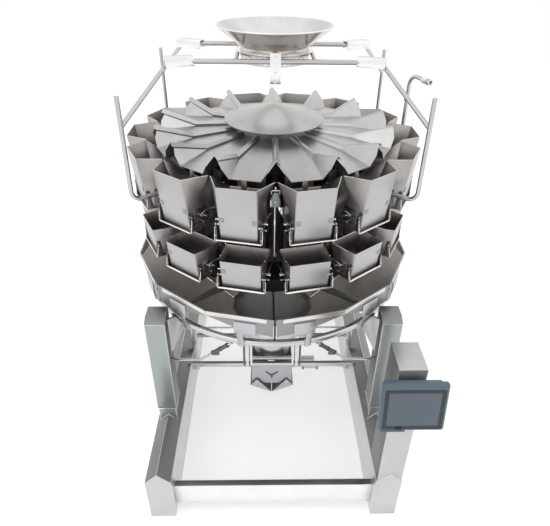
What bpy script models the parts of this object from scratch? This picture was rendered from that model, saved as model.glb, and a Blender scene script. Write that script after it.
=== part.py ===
"""Multihead weigher on its own frame, with fourteen weighing heads round a vertical axis.

Units are metres, +Z is up and the front of the machine faces -Y. Every piece is modelled about the
vertical axis of the machine and hangs from one empty, which stands AXIS_X and AXIS_Y away from the
middle of the bounding box, because the control panel reaches out in front of the side beams and the
conduit reaches out on the right.

A head is modelled once, facing the front, and its copies are turned about the vertical axis.
"""

import bmesh
import bpy
from math import atan2, ceil, cos, pi, radians, sin, sqrt, tan
from mathutils import Matrix, Vector

# Clearances
FIT = 0.0003                # between pieces that touch
SWING_GAP = 0.005           # between a gate and the hopper that it closes
EMBED = 0.001               # how far welded pieces run into each other

# Heads
HEADS = 14
HEAD_STEP = 2 * pi / HEADS
HEAD_GAP = 0.0027           # from a flare to the plane between two heads

# Pool hopper, facing the front: distances from the axis, half widths and heights
POOL_WALL = 0.002
POOL_TOP_Z = 1.435
POOL_REAR_TOP_Z = 1.365
POOL_FLARE_Z = 1.325
POOL_BOTTOM_Z = 1.243
POOL_TOP_FRONT_R = 0.578
POOL_BOTTOM_FRONT_R = 0.556
POOL_FRONT_HALF = 0.067
POOL_FLARE_R = 0.494
POOL_REAR_R = 0.405
POOL_REAR_HALF = 0.072
POOL_BOTTOM_REAR_R = 0.420
LOWER_BULGE = 0.003         # how much wider a hopper is behind its front corners

# Weigh hopper
WEIGH_WALL = 0.002
WEIGH_TOP_Z = 1.145
WEIGH_BOTTOM_Z = 1.035
WEIGH_TOP_FRONT_R = 0.555
WEIGH_BOTTOM_FRONT_R = 0.543
WEIGH_FRONT_HALF = 0.074
WEIGH_FLARE_R = 0.490
WEIGH_FLARE_HALF = 0.084
WEIGH_REAR_R = 0.437
WEIGH_REAR_HALF = 0.086
WEIGH_BOTTOM_REAR_R = 0.450

# Hopper gates
GATE_SHEET = 0.003
GATE_LIP = 0.010            # height of the lip above the hopper's bottom edge
GATE_ARM_WIDTH = 0.0256     # width of an arm where it leaves the plate
GATE_ARM_REACH = 0.016      # how far behind its pin an arm reaches
GATE_EYE_R = 0.010
GATE_PIN_R = 0.0045
GATE_PIN_PLAY = 0.0004
PIN_SIDES = 8
GATE_PIN_INSET = 0.008      # pin centre behind the hopper's front face
POOL_PIN_RISE = 0.050       # pin centre above the hopper's bottom edge
WEIGH_PIN_RISE = 0.045

# Drive housings and the body that carries them
HOUSING_HALF = 0.052
HOUSING_REAR_R = 0.295
HOUSING_FRONT_R = 0.375
HOUSING_TOP_Z = 1.400
HOUSING_BOTTOM_Z = 1.030
HOUSING_REAR_RISE = 0.020   # how far the housing's foot rises at the rear
HOUSING_TOE_RISE = 0.050    # and at its front
HOUSING_TOE = 0.030
HANGER_HALF = 0.028
HANGER_HEIGHT = 0.040
POOL_HANGER_RISE = 0.032    # from the hopper's bottom edge to the hanger
WEIGH_HANGER_RISE = 0.040
SKIRT_R = 0.372
SKIRT_TOP_Z = 0.965
SKIRT_BOTTOM_Z = 0.905
BODY_TOP_Z = 1.415
SKIRT_SLOPE = 0.030         # height of the slope from the drum to the skirt
SKIRT_HOLLOW = 0.030        # from the stem to the skirt's underside edge
STEM_R = 0.110
STEM_BOTTOM_Z = 0.745
STEM_OVERLAP = 0.020

# Feeder troughs and dispersion cone
TROUGH_SHEET = 0.003
TROUGH_INNER_R = 0.150
TROUGH_BEND_R = 0.315       # where a side wall starts to widen into its wing
TROUGH_WING_R = 0.457       # tip of the wings
TROUGH_LIP_R = 0.466
TROUGH_LIP_HALF = 0.0555
TROUGH_INNER_Z = 1.449
TROUGH_LIP_Z = 1.4157
TROUGH_INNER_TOP_Z = 1.460
TROUGH_BEND_TOP_Z = 1.447
TROUGH_WING_TOP_Z = 1.487
TROUGH_GAP = 0.0020         # from a wall's top to the plane between two heads
TROUGH_LEAN = 0.0065        # from a wall's top to its fold, across the trough
TROUGH_LIP_RISE = 0.002
TROUGH_POST_HALF = 0.0125
TROUGH_POST_FOOT_Z = 1.330
TROUGH_POST_R = 0.270
TROUGH_POST_THICK = 0.008
DECK_INNER_R = 0.060
DECK_OUTER_R = 0.235
DECK_SHEET = 0.004
CONE_R = 0.197
CONE_RIM_Z = 1.490
CONE_APEX_Z = 1.545
CONE_SHEET = 0.003
CONE_STEM_R = 0.030
CONE_TIP_R = 0.020
CONE_TIP_DROP = 0.003
CONE_STEM_DROP = 0.022      # from the apex to where the stem meets the sheet

# Support ring, whose radius follows from the chutes
RING_Z = 0.7875
RING_TUBE_R = 0.0145
RING_STEPS = 56
RING_SIDES = 8
ARM_COUNT = 7
ARM_THICK = 0.008
ARM_TOP_Z = 0.800
ARM_BOTTOM_Z = 0.755
ARM_OUTER_RISE = 0.020      # how much higher the arm's lower edge is at the pipe
ARM_OUTER_DROP = 0.004
ARM_SLOT_GAP = 0.003
ARM_SLOT_BELOW = 0.020
ARM_SLOT_ABOVE = 0.012
ARM_SLOT_MARGIN = 0.007     # how far a slot's cutter stands out of the sheet
TEE_HALF = 0.042
TEE_TOP_Z = 0.912
TEE_BOTTOM_Z = 0.862
TEE_SHEET = 0.006
STRAP_HALF = 0.0125
STRAP_THICK = 0.005
STRAP_INSET = 0.0005
STRAP_LAP = 0.012           # how far a strap laps the plate
STRAP_SHOULDER = 0.008
STRAP_GRIP = 0.010          # how far a strap goes below and above the pipe's middle
BOLT_R = 0.006
BOLT_DROP = 0.012

# Discharge chutes
CHUTE_R = 0.592
CHUTE_TOP_Z = 0.934
CHUTE_SHEET = 0.003
CHUTE_LIP = 0.016
CHUTE_LIP_OUT = 0.004
CHUTE_FOLD_DEPTH = 0.020
CHUTE_SEAM_DEPTH = 0.080
CHUTE_COLLAR_R = 0.200
CHUTE_COLLAR_Z = 0.555
CHUTE_COLLAR_DROP = 0.020
RING_INSET = 0.02716        # from the flats of the chutes' rim to the pipe's middle
RING_R = CHUTE_R * cos(HEAD_STEP / 2) - RING_INSET

# Collecting funnel
FUNNEL_SHEET = 0.003
FUNNEL_TOP_R = 0.215
FUNNEL_BOTTOM_R = 0.092
FUNNEL_BOTTOM_Z = 0.310
FUNNEL_SPOUT_Z = 0.252
FUNNEL_SHOULDER = 0.040

# Side frames, which stand under the ring
BEAM_INSET = 0.0793         # from the pipe's middle to the beam's
BEAM_X = RING_R - BEAM_INSET
BEAM_HALF = 0.0531
BEAM_RIDGE_Z = 0.289
BEAM_EAVE_Z = 0.237
BEAM_HALF_LENGTH = 0.7725
COLUMN_HALF = 0.041
COLUMN_INSET = 0.0790       # from the pipe's middle to the columns' front
COLUMN_FRONT_Y = RING_R - COLUMN_INSET
COLUMN_DEPTH = 0.095
COLUMN_TOP_Z = 0.832
COLUMN_SHOULDER_Z = 0.812
COLUMN_SHOULDER_DEPTH = 0.035
COLUMN_FOOT_Z = 0.338
COLUMN_FLANGE = 0.006
FLANGE_OUT = 0.001
FLANGE_GAP = 0.004
STUB_INSET = 0.003
GUSSET_THICK = 0.008
GUSSET_REACH = 0.047        # from the pipe's middle inwards
GUSSET_INNER_R = RING_R - GUSSET_REACH
GUSSET_LAP = 0.012
GUSSET_TOP_Z = 0.792
GUSSET_INNER_TOP_Z = 0.768
GUSSET_INNER_Z = 0.735
GUSSET_OUTER_Z = 0.600
GUSSET_RING_GAP = 0.0013    # wide enough for the pipe's flats
STAY_R = 0.0055
STAY_SLEEVE_R = 0.009
STAY_BEND = 0.030
STAY_SLEEVE_FROM = 0.42     # share of the way from the bend to the ring
STAY_SLEEVE_TO = 0.86
STAY_WING_AT = 0.52
STAY_WING_HALF = 0.012
STAY_WING_THICK_HALF = 0.003
STAY_WING_DROP = 0.022
STAY_ANGLE = radians(17.5)
STAY_LAP = 0.010            # how far the rod runs into the column
STAY_ROOT_Y = COLUMN_FRONT_Y - 0.051
STAY_ROOT_Z = 0.590
STAY_NEAR = (0.0347, 0.031, 0.596)      # first bend: from the column's side, from its front, height
STAY_FAR = (0.1267, 0.001, 0.626)       # second bend, measured alike

# Crossbeams
CROSSBEAM_FRONT_Y = 0.740
CROSSBEAM_DEPTH = 0.030
CROSSBEAM_BOTTOM_Z = 0.045
CROSSBEAM_TOP_Z = 0.163

# Timing hopper between the side beams
TIMING_POST = 0.027
TIMING_POST_BOTTOM_Z = 0.108
TIMING_POST_TOP_Z = 0.404
TIMING_BAR = 0.018
TIMING_BAR_Z = 0.134
TIMING_TOP_BAR_Z = 0.395
TIMING_TOP_BAR = 0.008
TIMING_HALF = 0.105
TIMING_DEPTH_HALF = 0.100
TIMING_SHEET = 0.003
TIMING_TOP_Z = 0.245
TIMING_BOTTOM_Z = 0.095
TIMING_PIN_X = 0.078
TIMING_PIN_Z = 0.114
TIMING_PIN_R = 0.005
TIMING_LEAF_TIP_Z = 0.036
TIMING_LEAF_DROP = 0.009    # from the walls' lower edge to the underside of a leaf's outer end
TIMING_EYE_R = 0.012
SIDE_STRAP_X = 0.150
STRAP_SHEET = 0.006
FRONT_STRAP_X = 0.096
FRONT_STRAP_TOP_Z = 0.335
FRONT_STRAP_DEPTH = 0.014
ROLLER_R = 0.006
ROLLER_Z = 0.300
ROLLER_OUT = 0.008          # from the walls' front face to the roller's middle
SIDE_STRAP_OUT = 0.004
BAR_INSET = 0.002
FRONT_STRAP_RISE = 0.030
TIMING_LEAF_EDGE = 0.002
TIMING_TIP_GAP = 0.0015     # from a leaf's tip to the middle plane
TIMING_PIN_END = 0.004
CYLINDER_R = 0.015
CYLINDER_LENGTH = 0.120
CYLINDER_OUT = 0.060        # from the walls to the cylinder
CYLINDER_RISE = 0.024       # above the bar
CYLINDER_CLIMB = 0.006
PISTON_R = 0.004
PISTON_DROP = 0.003

# Guard frame above the heads
GUARD_POST_R = 0.638
GUARD_TUBE_R = 0.008
GUARD_TOP_Z = 1.674
GUARD_ELBOW_Z = 1.315
GUARD_BEND_R = 0.035
GUARD_ANGLE = 2 * HEAD_STEP
RAIL_Z = 1.733
RAIL_Y = 0.170
RAIL_HALF = 0.365
RAIL_R = 0.009
SLANT_FOOT_Z = 1.576
SLEEVE_LENGTH = 0.100
SLEEVE_WIDTH = 0.044
SLEEVE_HEIGHT = 0.030
SLEEVE_SHIFT = 0.0335       # from the rail's end to the sleeve's middle
SLEEVE_LEAN = 0.3           # share of the slanted rail's turn
SENSOR_HALF = 0.019
SENSOR_THICK = 0.004
SENSOR_TOP_Z = 1.763
SENSOR_BOTTOM_Z = 1.660

# Infeed funnel
INFEED_RIM_R = 0.215
INFEED_RIM_Z = 1.830
INFEED_NECK_R = 0.128
INFEED_NECK_Z = 1.758
INFEED_BOTTOM_Z = 1.704
INFEED_SHEET = 0.003
INFEED_FLANGE = 0.022

# Control post and panel
POST_INNER_X = BEAM_X - 0.0507
POST_OUTER_X = BEAM_X + 0.0493
POST_DEPTH = 0.140
POST_TOP_Z = 0.866
PANEL_X = BEAM_X - 0.0032
PANEL_FRONT_Y = 0.850       # middle of the panel's front face
PANEL_Z = 0.767
PANEL_HALF = 0.110
PANEL_HEIGHT = 0.168
PANEL_DEPTH = 0.046
PANEL_TILT = radians(10)
PANEL_RECESS = 0.003
SCREEN_HALF = 0.088
SCREEN_HEIGHT = 0.112
SCREEN_RISE = 0.010
PANEL_EDGE = 0.006
BRACKET_HALF = 0.040
BRACKET_HEIGHT_HALF = 0.035
TRAY_SHEET = 0.004
TRAY_WIDTH = 0.085
TRAY_FRONT = 0.005          # how far the tray stands out in front of the panel's middle
TRAY_REAR = 0.0595
TRAY_INSET = 0.012
TRAY_DROP = 0.018
HOOK_INSET = 0.010
HOOK_FRONT = 0.012
HOOK_SHEET = 0.006
HOOK_LAP = 0.020

# Conduit
CONDUIT_ANGLE = 4 * HEAD_STEP
CONDUIT_R = 0.010
CONDUIT_REACH = 0.572
CONDUIT_TOP_Z = 1.630
CONDUIT_BEND_R = 0.045
CONDUIT_TIP_X = 0.603
CONDUIT_TIP_Y = 0.000
CONDUIT_TIP_DROP = 0.004
FITTING_R = 0.014
FITTING_LENGTH = 0.045

# Outermost points of the machine, measured from its vertical axis
PANEL_NOSE_Y = PANEL_FRONT_Y + sin(PANEL_TILT) * (PANEL_HEIGHT / 2 - PANEL_EDGE)
CONDUIT_REACH_Y = -CONDUIT_REACH * cos(CONDUIT_ANGLE)
CONDUIT_RUN_X = CONDUIT_TIP_X - CONDUIT_REACH * sin(CONDUIT_ANGLE)
CONDUIT_RUN = Vector((CONDUIT_RUN_X, CONDUIT_TIP_Y - CONDUIT_REACH_Y, -CONDUIT_TIP_DROP))
CONDUIT_NOSE_X = CONDUIT_TIP_X + FITTING_R * sqrt(1 - (CONDUIT_RUN_X / CONDUIT_RUN.length) ** 2)
CLAMP_FACE_R = CHUTE_R * cos(HEAD_STEP / 2) + FIT + TEE_SHEET
AXIS_X = (CLAMP_FACE_R - CONDUIT_NOSE_X) / 2
AXIS_Y = (PANEL_NOSE_Y - BEAM_HALF_LENGTH) / 2

STEEL = (0.66, 0.66, 0.65)
PALE_STEEL = (0.78, 0.78, 0.77)
GREY_STEEL = (0.42, 0.43, 0.43)
DARK_STEEL = (0.12, 0.11, 0.10)


def clear_scene():
    """Remove whatever the file holds."""
    for obj in list(bpy.data.objects):
        bpy.data.objects.remove(obj, do_unlink=True)


def make_material(name, colour, roughness, metallic):
    """Return a Principled material of one colour."""
    material = bpy.data.materials.new(name)
    material.use_nodes = True
    shader = material.node_tree.nodes["Principled BSDF"]
    shader.inputs["Base Color"].default_value = (*colour, 1.0)
    shader.inputs["Roughness"].default_value = roughness
    shader.inputs["Metallic"].default_value = metallic
    return material


def link_object(name, bm):
    """Turn a bmesh into an object whose faces point outwards."""
    bmesh.ops.recalc_face_normals(bm, faces=bm.faces)
    mesh = bpy.data.meshes.new(name)
    bm.to_mesh(mesh)
    bm.free()
    obj = bpy.data.objects.new(name, mesh)
    bpy.context.scene.collection.objects.link(obj)
    return obj


def prism(outline, along, name="prism"):
    """Extrude a flat outline of 3-D points by the vector along."""
    bm = bmesh.new()
    face = bm.faces.new([bm.verts.new(point) for point in outline])
    grown = bmesh.ops.extrude_face_region(bm, geom=[face])
    moved = [item for item in grown["geom"] if isinstance(item, bmesh.types.BMVert)]
    bmesh.ops.translate(bm, verts=moved, vec=along)
    return link_object(name, bm)


def box(low, high, name="box"):
    """Make a box between two corners."""
    outline = [(low[0], low[1], low[2]), (high[0], low[1], low[2]),
               (high[0], high[1], low[2]), (low[0], high[1], low[2])]
    return prism(outline, (0, 0, high[2] - low[2]), name)


def radial_prism(outline, half_width, name="radial"):
    """Extrude an outline of (distance from the axis, height) across the head's middle plane."""
    points = [(-half_width, -r, z) for r, z in outline]
    return prism(points, (2 * half_width, 0, 0), name)


def turned(profile, sides, name="turned"):
    """Spin a closed profile of (radius, height) about the vertical axis."""
    bm = bmesh.new()
    verts = [bm.verts.new((r, 0, z)) for r, z in profile]
    edges = [bm.edges.new(pair) for pair in zip(verts, verts[1:] + verts[:1])]
    bmesh.ops.spin(bm, geom=verts + edges, axis=(0, 0, 1), cent=(0, 0, 0),
                   angle=2 * pi, steps=sides, use_merge=True)
    bmesh.ops.remove_doubles(bm, verts=bm.verts, dist=1e-6)
    on_axis = [edge for edge in bm.edges if not edge.link_faces]
    bmesh.ops.delete(bm, geom=on_axis, context="EDGES")
    return link_object(name, bm)


def faceted(profile, sides, first_angle, name="faceted"):
    """Skin rings of flats: profile gives (distance to the flat, height) from top to bottom."""
    rings = []
    for flat, z in profile:
        corner = flat / cos(pi / sides)
        angles = [first_angle + (i + 0.5) * 2 * pi / sides for i in range(sides)]
        rings.append([(corner * sin(a), -corner * cos(a), z) for a in angles])
    bm = bmesh.new()
    loops = [[bm.verts.new(point) for point in ring] for ring in rings]
    for upper, lower in zip(loops, loops[1:]):
        for i in range(sides):
            j = (i + 1) % sides
            bm.faces.new((upper[i], upper[j], lower[j], lower[i]))
    bm.faces.new(loops[0])
    bm.faces.new(loops[-1])
    return link_object(name, bm)


def walled(rings, crease, name="walled"):
    """Skin closed rings into a sheet with thickness; the last ring joins the first.

    Each ring has as many points as the others. Crease holds the indices of the points where a
    twisted side folds, so that the two skins of the sheet fold alike.
    """
    bm = bmesh.new()
    loops = [[bm.verts.new(point) for point in ring] for ring in rings]
    count = len(loops[0])
    for first, second in zip(loops, loops[1:] + loops[:1]):
        if first[0].co.z < second[0].co.z:
            upper, lower = second, first
        else:
            upper, lower = first, second
        for i in range(count):
            j = (i + 1) % count
            if i in crease:
                bm.faces.new((upper[i], upper[j], lower[j]))
                bm.faces.new((upper[i], lower[j], lower[i]))
            elif j in crease:
                bm.faces.new((upper[j], lower[i], upper[i]))
                bm.faces.new((upper[j], lower[j], lower[i]))
            else:
                bm.faces.new((upper[i], upper[j], lower[j], lower[i]))
    return link_object(name, bm)


def rounded_path(points, bend, steps=5):
    """Return the points of a path whose inner corners are arcs of radius bend."""
    path = [Vector(points[0])]
    for before, corner, after in zip(points, points[1:], points[2:]):
        corner = Vector(corner)
        back = (Vector(before) - corner).normalized()
        ahead = (Vector(after) - corner).normalized()
        half = back.angle(ahead) / 2
        centre = corner + (back + ahead).normalized() * bend / sin(half)
        start = corner + back * bend / tan(half)
        spoke = start - centre
        turn_axis = spoke.cross(corner + ahead * bend / tan(half) - centre).normalized()
        for step in range(steps + 1):
            turn = Matrix.Rotation((pi - 2 * half) * step / steps, 3, turn_axis)
            path.append(centre + turn @ spoke)
    path.append(Vector(points[-1]))
    return path


def tube(points, radius, rounds=2, name="tube"):
    """Make a round bar along a path, as a bevelled curve turned into a mesh."""
    curve = bpy.data.curves.new(name, "CURVE")
    curve.dimensions = "3D"
    curve.bevel_depth = radius
    curve.bevel_resolution = rounds
    curve.use_fill_caps = True
    spline = curve.splines.new("POLY")
    spline.points.add(len(points) - 1)
    for slot, point in zip(spline.points, points):
        slot.co = (*point, 1.0)
    guide = bpy.data.objects.new(name, curve)
    bpy.context.scene.collection.objects.link(guide)
    depsgraph = bpy.context.evaluated_depsgraph_get()
    mesh = bpy.data.meshes.new_from_object(guide.evaluated_get(depsgraph))
    bpy.data.objects.remove(guide, do_unlink=True)
    bm = bmesh.new()
    bm.from_mesh(mesh)
    bmesh.ops.remove_doubles(bm, verts=bm.verts, dist=1e-6)
    return link_object(name, bm)


def combine(body, others, operation):
    """Apply one Boolean after another to body and return the result in its place."""
    for other in others:
        modifier = body.modifiers.new(operation.lower(), "BOOLEAN")
        modifier.operation = operation
        modifier.object = other
    depsgraph = bpy.context.evaluated_depsgraph_get()
    mesh = bpy.data.meshes.new_from_object(body.evaluated_get(depsgraph))
    body.modifiers.clear()
    body.data = mesh
    for other in others:
        bpy.data.objects.remove(other, do_unlink=True)
    return body


def weld(parts):
    """Join overlapping solids into one."""
    return combine(parts[0], parts[1:], "UNION")


def cut(body, cutters):
    """Take the cutters out of body."""
    return combine(body, cutters, "DIFFERENCE")


def turn_mesh(obj, angle):
    """Turn an object's mesh about the vertical axis and return the object."""
    obj.data.transform(Matrix.Rotation(angle, 4, "Z"))
    return obj


def copy_turned(obj, angle):
    """Return a copy of a mesh object, turned about the vertical axis."""
    twin = bpy.data.objects.new(obj.name, obj.data.copy())
    bpy.context.scene.collection.objects.link(twin)
    return turn_mesh(twin, angle)


def mirrored(obj, axis):
    """Return a copy of obj mirrored in the plane across the axis index through the origin."""
    scale = Vector((1, 1, 1))
    scale[axis] = -1
    bm = bmesh.new()
    bm.from_mesh(obj.data)
    bmesh.ops.scale(bm, verts=bm.verts, vec=scale)
    bmesh.ops.reverse_faces(bm, faces=bm.faces)
    return link_object(obj.name, bm)


def finish(obj, name, root, colour, roughness=0.35, metallic=1.0, smooth_angle=None):
    """Name a piece, hang it on the root empty and give it its own material."""
    obj.name = name
    obj.data.name = name
    obj.parent = root
    obj.data.materials.clear()
    obj.data.materials.append(make_material(name, colour, roughness, metallic))
    if smooth_angle is not None:
        obj.data.shade_smooth()
        obj.data.set_sharp_from_angle(angle=smooth_angle)
    return obj


def boundary_half(r):
    """Half the width between the planes that part one head from the next, r from the axis."""
    return r * tan(HEAD_STEP / 2)


def head_angle(index):
    """Angle of a head from the front, to the right as seen from the front."""
    return (index + 0.5) * HEAD_STEP


def plan_outline(front, flare, rear):
    """Six plan points, counter-clockwise, from (distance, half width) pairs."""
    return [(-front[1], -front[0]), (front[1], -front[0]), (flare[1], -flare[0]),
            (rear[1], -rear[0]), (-rear[1], -rear[0]), (-flare[1], -flare[0])]


def inset_outline(outline, distance):
    """Move each side of a counter-clockwise outline inwards."""
    inner = []
    for before, here, after in zip(outline[-1:] + outline[:-1], outline, outline[1:] + outline[:1]):
        normals = []
        for start, end in ((before, here), (here, after)):
            side = Vector(end) - Vector(start)
            normals.append(Vector((-side.y, side.x)).normalized())
        total = normals[0] + normals[1]
        inner.append(tuple(Vector(here) + total * distance / (1 + normals[0].dot(normals[1]))))
    return inner


def hopper_shell(levels, wall):
    """Skin a hopper open at both ends: levels are (outline, front height, rear height)."""
    outer = []
    inner = []
    for outline, front_z, rear_z in levels:
        heights = [front_z, front_z, front_z, rear_z, rear_z, front_z]
        outer.append([(x, y, z) for (x, y), z in zip(outline, heights)])
        inner.append([(x, y, z) for (x, y), z in zip(inset_outline(outline, wall), heights)])
    return walled(outer + inner[::-1], crease=(2, 5), name="hopper")


def between(low, high, z, low_z, high_z):
    """Straight-line value at height z."""
    return low + (high - low) * (z - low_z) / (high_z - low_z)


def pool_front(z):
    """Distance of the pool hopper's front face at a height."""
    return between(POOL_BOTTOM_FRONT_R, POOL_TOP_FRONT_R, z, POOL_BOTTOM_Z, POOL_TOP_Z)


def pool_rear(z):
    """Distance of the pool hopper's rear face at a height."""
    return between(POOL_BOTTOM_REAR_R, POOL_REAR_R, z, POOL_BOTTOM_Z, POOL_REAR_TOP_Z)


def weigh_front(z):
    """Distance of the weigh hopper's front face at a height."""
    return between(WEIGH_BOTTOM_FRONT_R, WEIGH_TOP_FRONT_R, z, WEIGH_BOTTOM_Z, WEIGH_TOP_Z)


def weigh_rear(z):
    """Distance of the weigh hopper's rear face at a height."""
    return between(WEIGH_BOTTOM_REAR_R, WEIGH_REAR_R, z, WEIGH_BOTTOM_Z, WEIGH_TOP_Z)


POOL_PIN_Z = POOL_BOTTOM_Z + POOL_PIN_RISE
POOL_PIN_AXIS_R = pool_front(POOL_PIN_Z) - GATE_PIN_INSET
WEIGH_PIN_Z = WEIGH_BOTTOM_Z + WEIGH_PIN_RISE
WEIGH_PIN_AXIS_R = weigh_front(WEIGH_PIN_Z) - GATE_PIN_INSET
PIN_END = 0.003             # how far a pin stands out of its arm


def pool_shell():
    """The pool hopper: upright front, sides that flare out to the neighbours at the top."""
    flare_half = boundary_half(POOL_FLARE_R) - HEAD_GAP
    lower_flare_half = POOL_FRONT_HALF + LOWER_BULGE
    top = plan_outline((POOL_TOP_FRONT_R, POOL_FRONT_HALF), (POOL_FLARE_R, flare_half),
                       (POOL_REAR_R, POOL_REAR_HALF))
    middle = plan_outline((pool_front(POOL_FLARE_Z), POOL_FRONT_HALF), (POOL_FLARE_R, lower_flare_half),
                          (pool_rear(POOL_FLARE_Z), POOL_FRONT_HALF))
    bottom = plan_outline((POOL_BOTTOM_FRONT_R, POOL_FRONT_HALF), (POOL_FLARE_R, lower_flare_half),
                          (POOL_BOTTOM_REAR_R, POOL_FRONT_HALF))
    levels = [(top, POOL_TOP_Z, POOL_REAR_TOP_Z), (middle, POOL_FLARE_Z, POOL_FLARE_Z),
              (bottom, POOL_BOTTOM_Z, POOL_BOTTOM_Z)]
    return hopper_shell(levels, POOL_WALL)


def weigh_shell():
    """The weigh hopper: lower, nearly square below, a little wider at the rear on top."""
    top = plan_outline((WEIGH_TOP_FRONT_R, WEIGH_FRONT_HALF), (WEIGH_FLARE_R, WEIGH_FLARE_HALF),
                       (WEIGH_REAR_R, WEIGH_REAR_HALF))
    bottom = plan_outline((WEIGH_BOTTOM_FRONT_R, WEIGH_FRONT_HALF),
                          (WEIGH_FLARE_R, WEIGH_FRONT_HALF + LOWER_BULGE),
                          (WEIGH_BOTTOM_REAR_R, WEIGH_FRONT_HALF))
    levels = [(top, WEIGH_TOP_Z, WEIGH_TOP_Z), (bottom, WEIGH_BOTTOM_Z, WEIGH_BOTTOM_Z)]
    return hopper_shell(levels, WEIGH_WALL)


def hanger(rear, wall, low_z):
    """Bracket from the drive housing into the rear wall of a hopper."""
    start = HOUSING_FRONT_R - EMBED
    high_z = low_z + HANGER_HEIGHT
    outline = [(start, low_z), (start, high_z),
               (rear(high_z) + wall / 2, high_z), (rear(low_z) + wall / 2, low_z)]
    return radial_prism(outline, HANGER_HALF)


def gate_pin(side, half, wall, pin_r, pin_z):
    """Pivot pin that stands out of a hopper's side wall."""
    root = Vector((side * (half(pin_r, pin_z) - wall / 2), -pin_r, pin_z))
    reach = arm_inner_half(half, pin_r, pin_z) + GATE_SHEET + PIN_END
    return round_bar(root, Vector((side * reach, -pin_r, pin_z)), GATE_PIN_R, PIN_SIDES)


def round_bar(start, end, radius, sides, name="bar"):
    """Straight round bar between two points."""
    bm = bmesh.new()
    axis = Vector(end) - Vector(start)
    bmesh.ops.create_cone(bm, cap_ends=True, segments=sides, radius1=radius, radius2=radius,
                          depth=axis.length)
    turn = axis.to_track_quat("Z", "Y").to_matrix().to_4x4()
    bmesh.ops.transform(bm, verts=bm.verts, matrix=Matrix.Translation((Vector(start) + Vector(end)) / 2) @ turn)
    return link_object(name, bm)


def pool_half(r, z):
    """Outer half width of the pool hopper below its flare."""
    return between(POOL_FRONT_HALF, POOL_FRONT_HALF + LOWER_BULGE, r, pool_front(z), POOL_FLARE_R)


def weigh_half(r, z):
    """Outer half width of the weigh hopper in front of its widest part."""
    widest = between(WEIGH_FRONT_HALF + LOWER_BULGE, WEIGH_FLARE_HALF, z, WEIGH_BOTTOM_Z, WEIGH_TOP_Z)
    return between(WEIGH_FRONT_HALF, widest, r, weigh_front(z), WEIGH_FLARE_R)


def arm_inner_half(half, pin_r, pin_z):
    """Inner face of a gate's arms, clear of the widest wall that they pass."""
    return half(pin_r - GATE_ARM_REACH, pin_z + GATE_EYE_R) + SWING_GAP


def build_head(root, index, mesh):
    """One head: drive housing with its pool and weigh hopper shells."""
    head = bpy.data.objects.new("head", mesh.copy())
    bpy.context.scene.collection.objects.link(head)
    head.rotation_euler.z = head_angle(index)
    finish(head, f"head_{index + 1:02d}", root, STEEL)


def head_mesh():
    """Mesh of a head that faces the front."""
    inner = HOUSING_REAR_R + FIT
    housing = radial_prism([(inner, HOUSING_BOTTOM_Z + HOUSING_REAR_RISE), (inner, HOUSING_TOP_Z),
                            (HOUSING_FRONT_R, HOUSING_TOP_Z),
                            (HOUSING_FRONT_R, HOUSING_BOTTOM_Z + HOUSING_TOE_RISE),
                            (HOUSING_FRONT_R - HOUSING_TOE, HOUSING_BOTTOM_Z)], HOUSING_HALF)
    parts = [housing, pool_shell(), weigh_shell(),
             hanger(pool_rear, POOL_WALL, POOL_BOTTOM_Z + POOL_HANGER_RISE),
             hanger(weigh_rear, WEIGH_WALL, WEIGH_BOTTOM_Z + WEIGH_HANGER_RISE)]
    for side in (-1, 1):
        parts.append(gate_pin(side, pool_half, POOL_WALL, POOL_PIN_AXIS_R, POOL_PIN_Z))
        parts.append(gate_pin(side, weigh_half, WEIGH_WALL, WEIGH_PIN_AXIS_R, WEIGH_PIN_Z))
    head = weld(parts)
    mesh = head.data
    bpy.data.objects.remove(head, do_unlink=True)
    return mesh


def gate_mesh(bottom_z, front_r, rear_r, half, pin_r, pin_z):
    """Mesh of a gate with its pin axis at the origin: plate, front lip and two side arms."""
    arm_in = arm_inner_half(half, pin_r, pin_z)
    arm_out = arm_in + GATE_SHEET
    plate_top = bottom_z - SWING_GAP - pin_z
    plate_bottom = plate_top - GATE_SHEET
    rear = rear_r - pin_r
    lip_in = front_r + SWING_GAP - pin_r
    lip_out = lip_in + GATE_SHEET
    lip_top = bottom_z + GATE_LIP - pin_z
    profile = [(rear, plate_bottom), (lip_out, plate_bottom), (lip_out, lip_top),
               (lip_in, lip_top), (lip_in, plate_top), (rear, plate_top)]
    parts = [radial_prism(profile, arm_out - FIT)]
    hole_r = (GATE_PIN_R + GATE_PIN_PLAY) / cos(pi / PIN_SIDES)
    for side in (-1, 1):
        inner = side * arm_in
        foot = plate_top - GATE_SHEET / 2
        foot_front = lip_in + GATE_SHEET * 0.75
        outline = [(foot_front - GATE_ARM_WIDTH, foot), (foot_front, foot)]
        outline += [(GATE_EYE_R * cos(a), GATE_EYE_R * sin(a)) for a in (0.0, pi / 3, 2 * pi / 3, pi)]
        arm = prism([(inner, -r, z) for r, z in outline], (side * GATE_SHEET, 0, 0))
        hole = round_bar((inner - side * GATE_SHEET, 0, 0), (inner + side * 2 * GATE_SHEET, 0, 0),
                         hole_r, PIN_SIDES)
        parts.append(cut(arm, [hole]))
    gate = weld(parts)
    mesh = gate.data
    bpy.data.objects.remove(gate, do_unlink=True)
    return mesh


def place_gate(root, name, mesh, index, pin_r, pin_z):
    """Hang a copy of a gate on its pins."""
    gate = bpy.data.objects.new(name, mesh.copy())
    bpy.context.scene.collection.objects.link(gate)
    angle = head_angle(index)
    gate.location = (pin_r * sin(angle), -pin_r * cos(angle), pin_z)
    gate.rotation_euler.z = angle
    finish(gate, name, root, PALE_STEEL)


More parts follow.
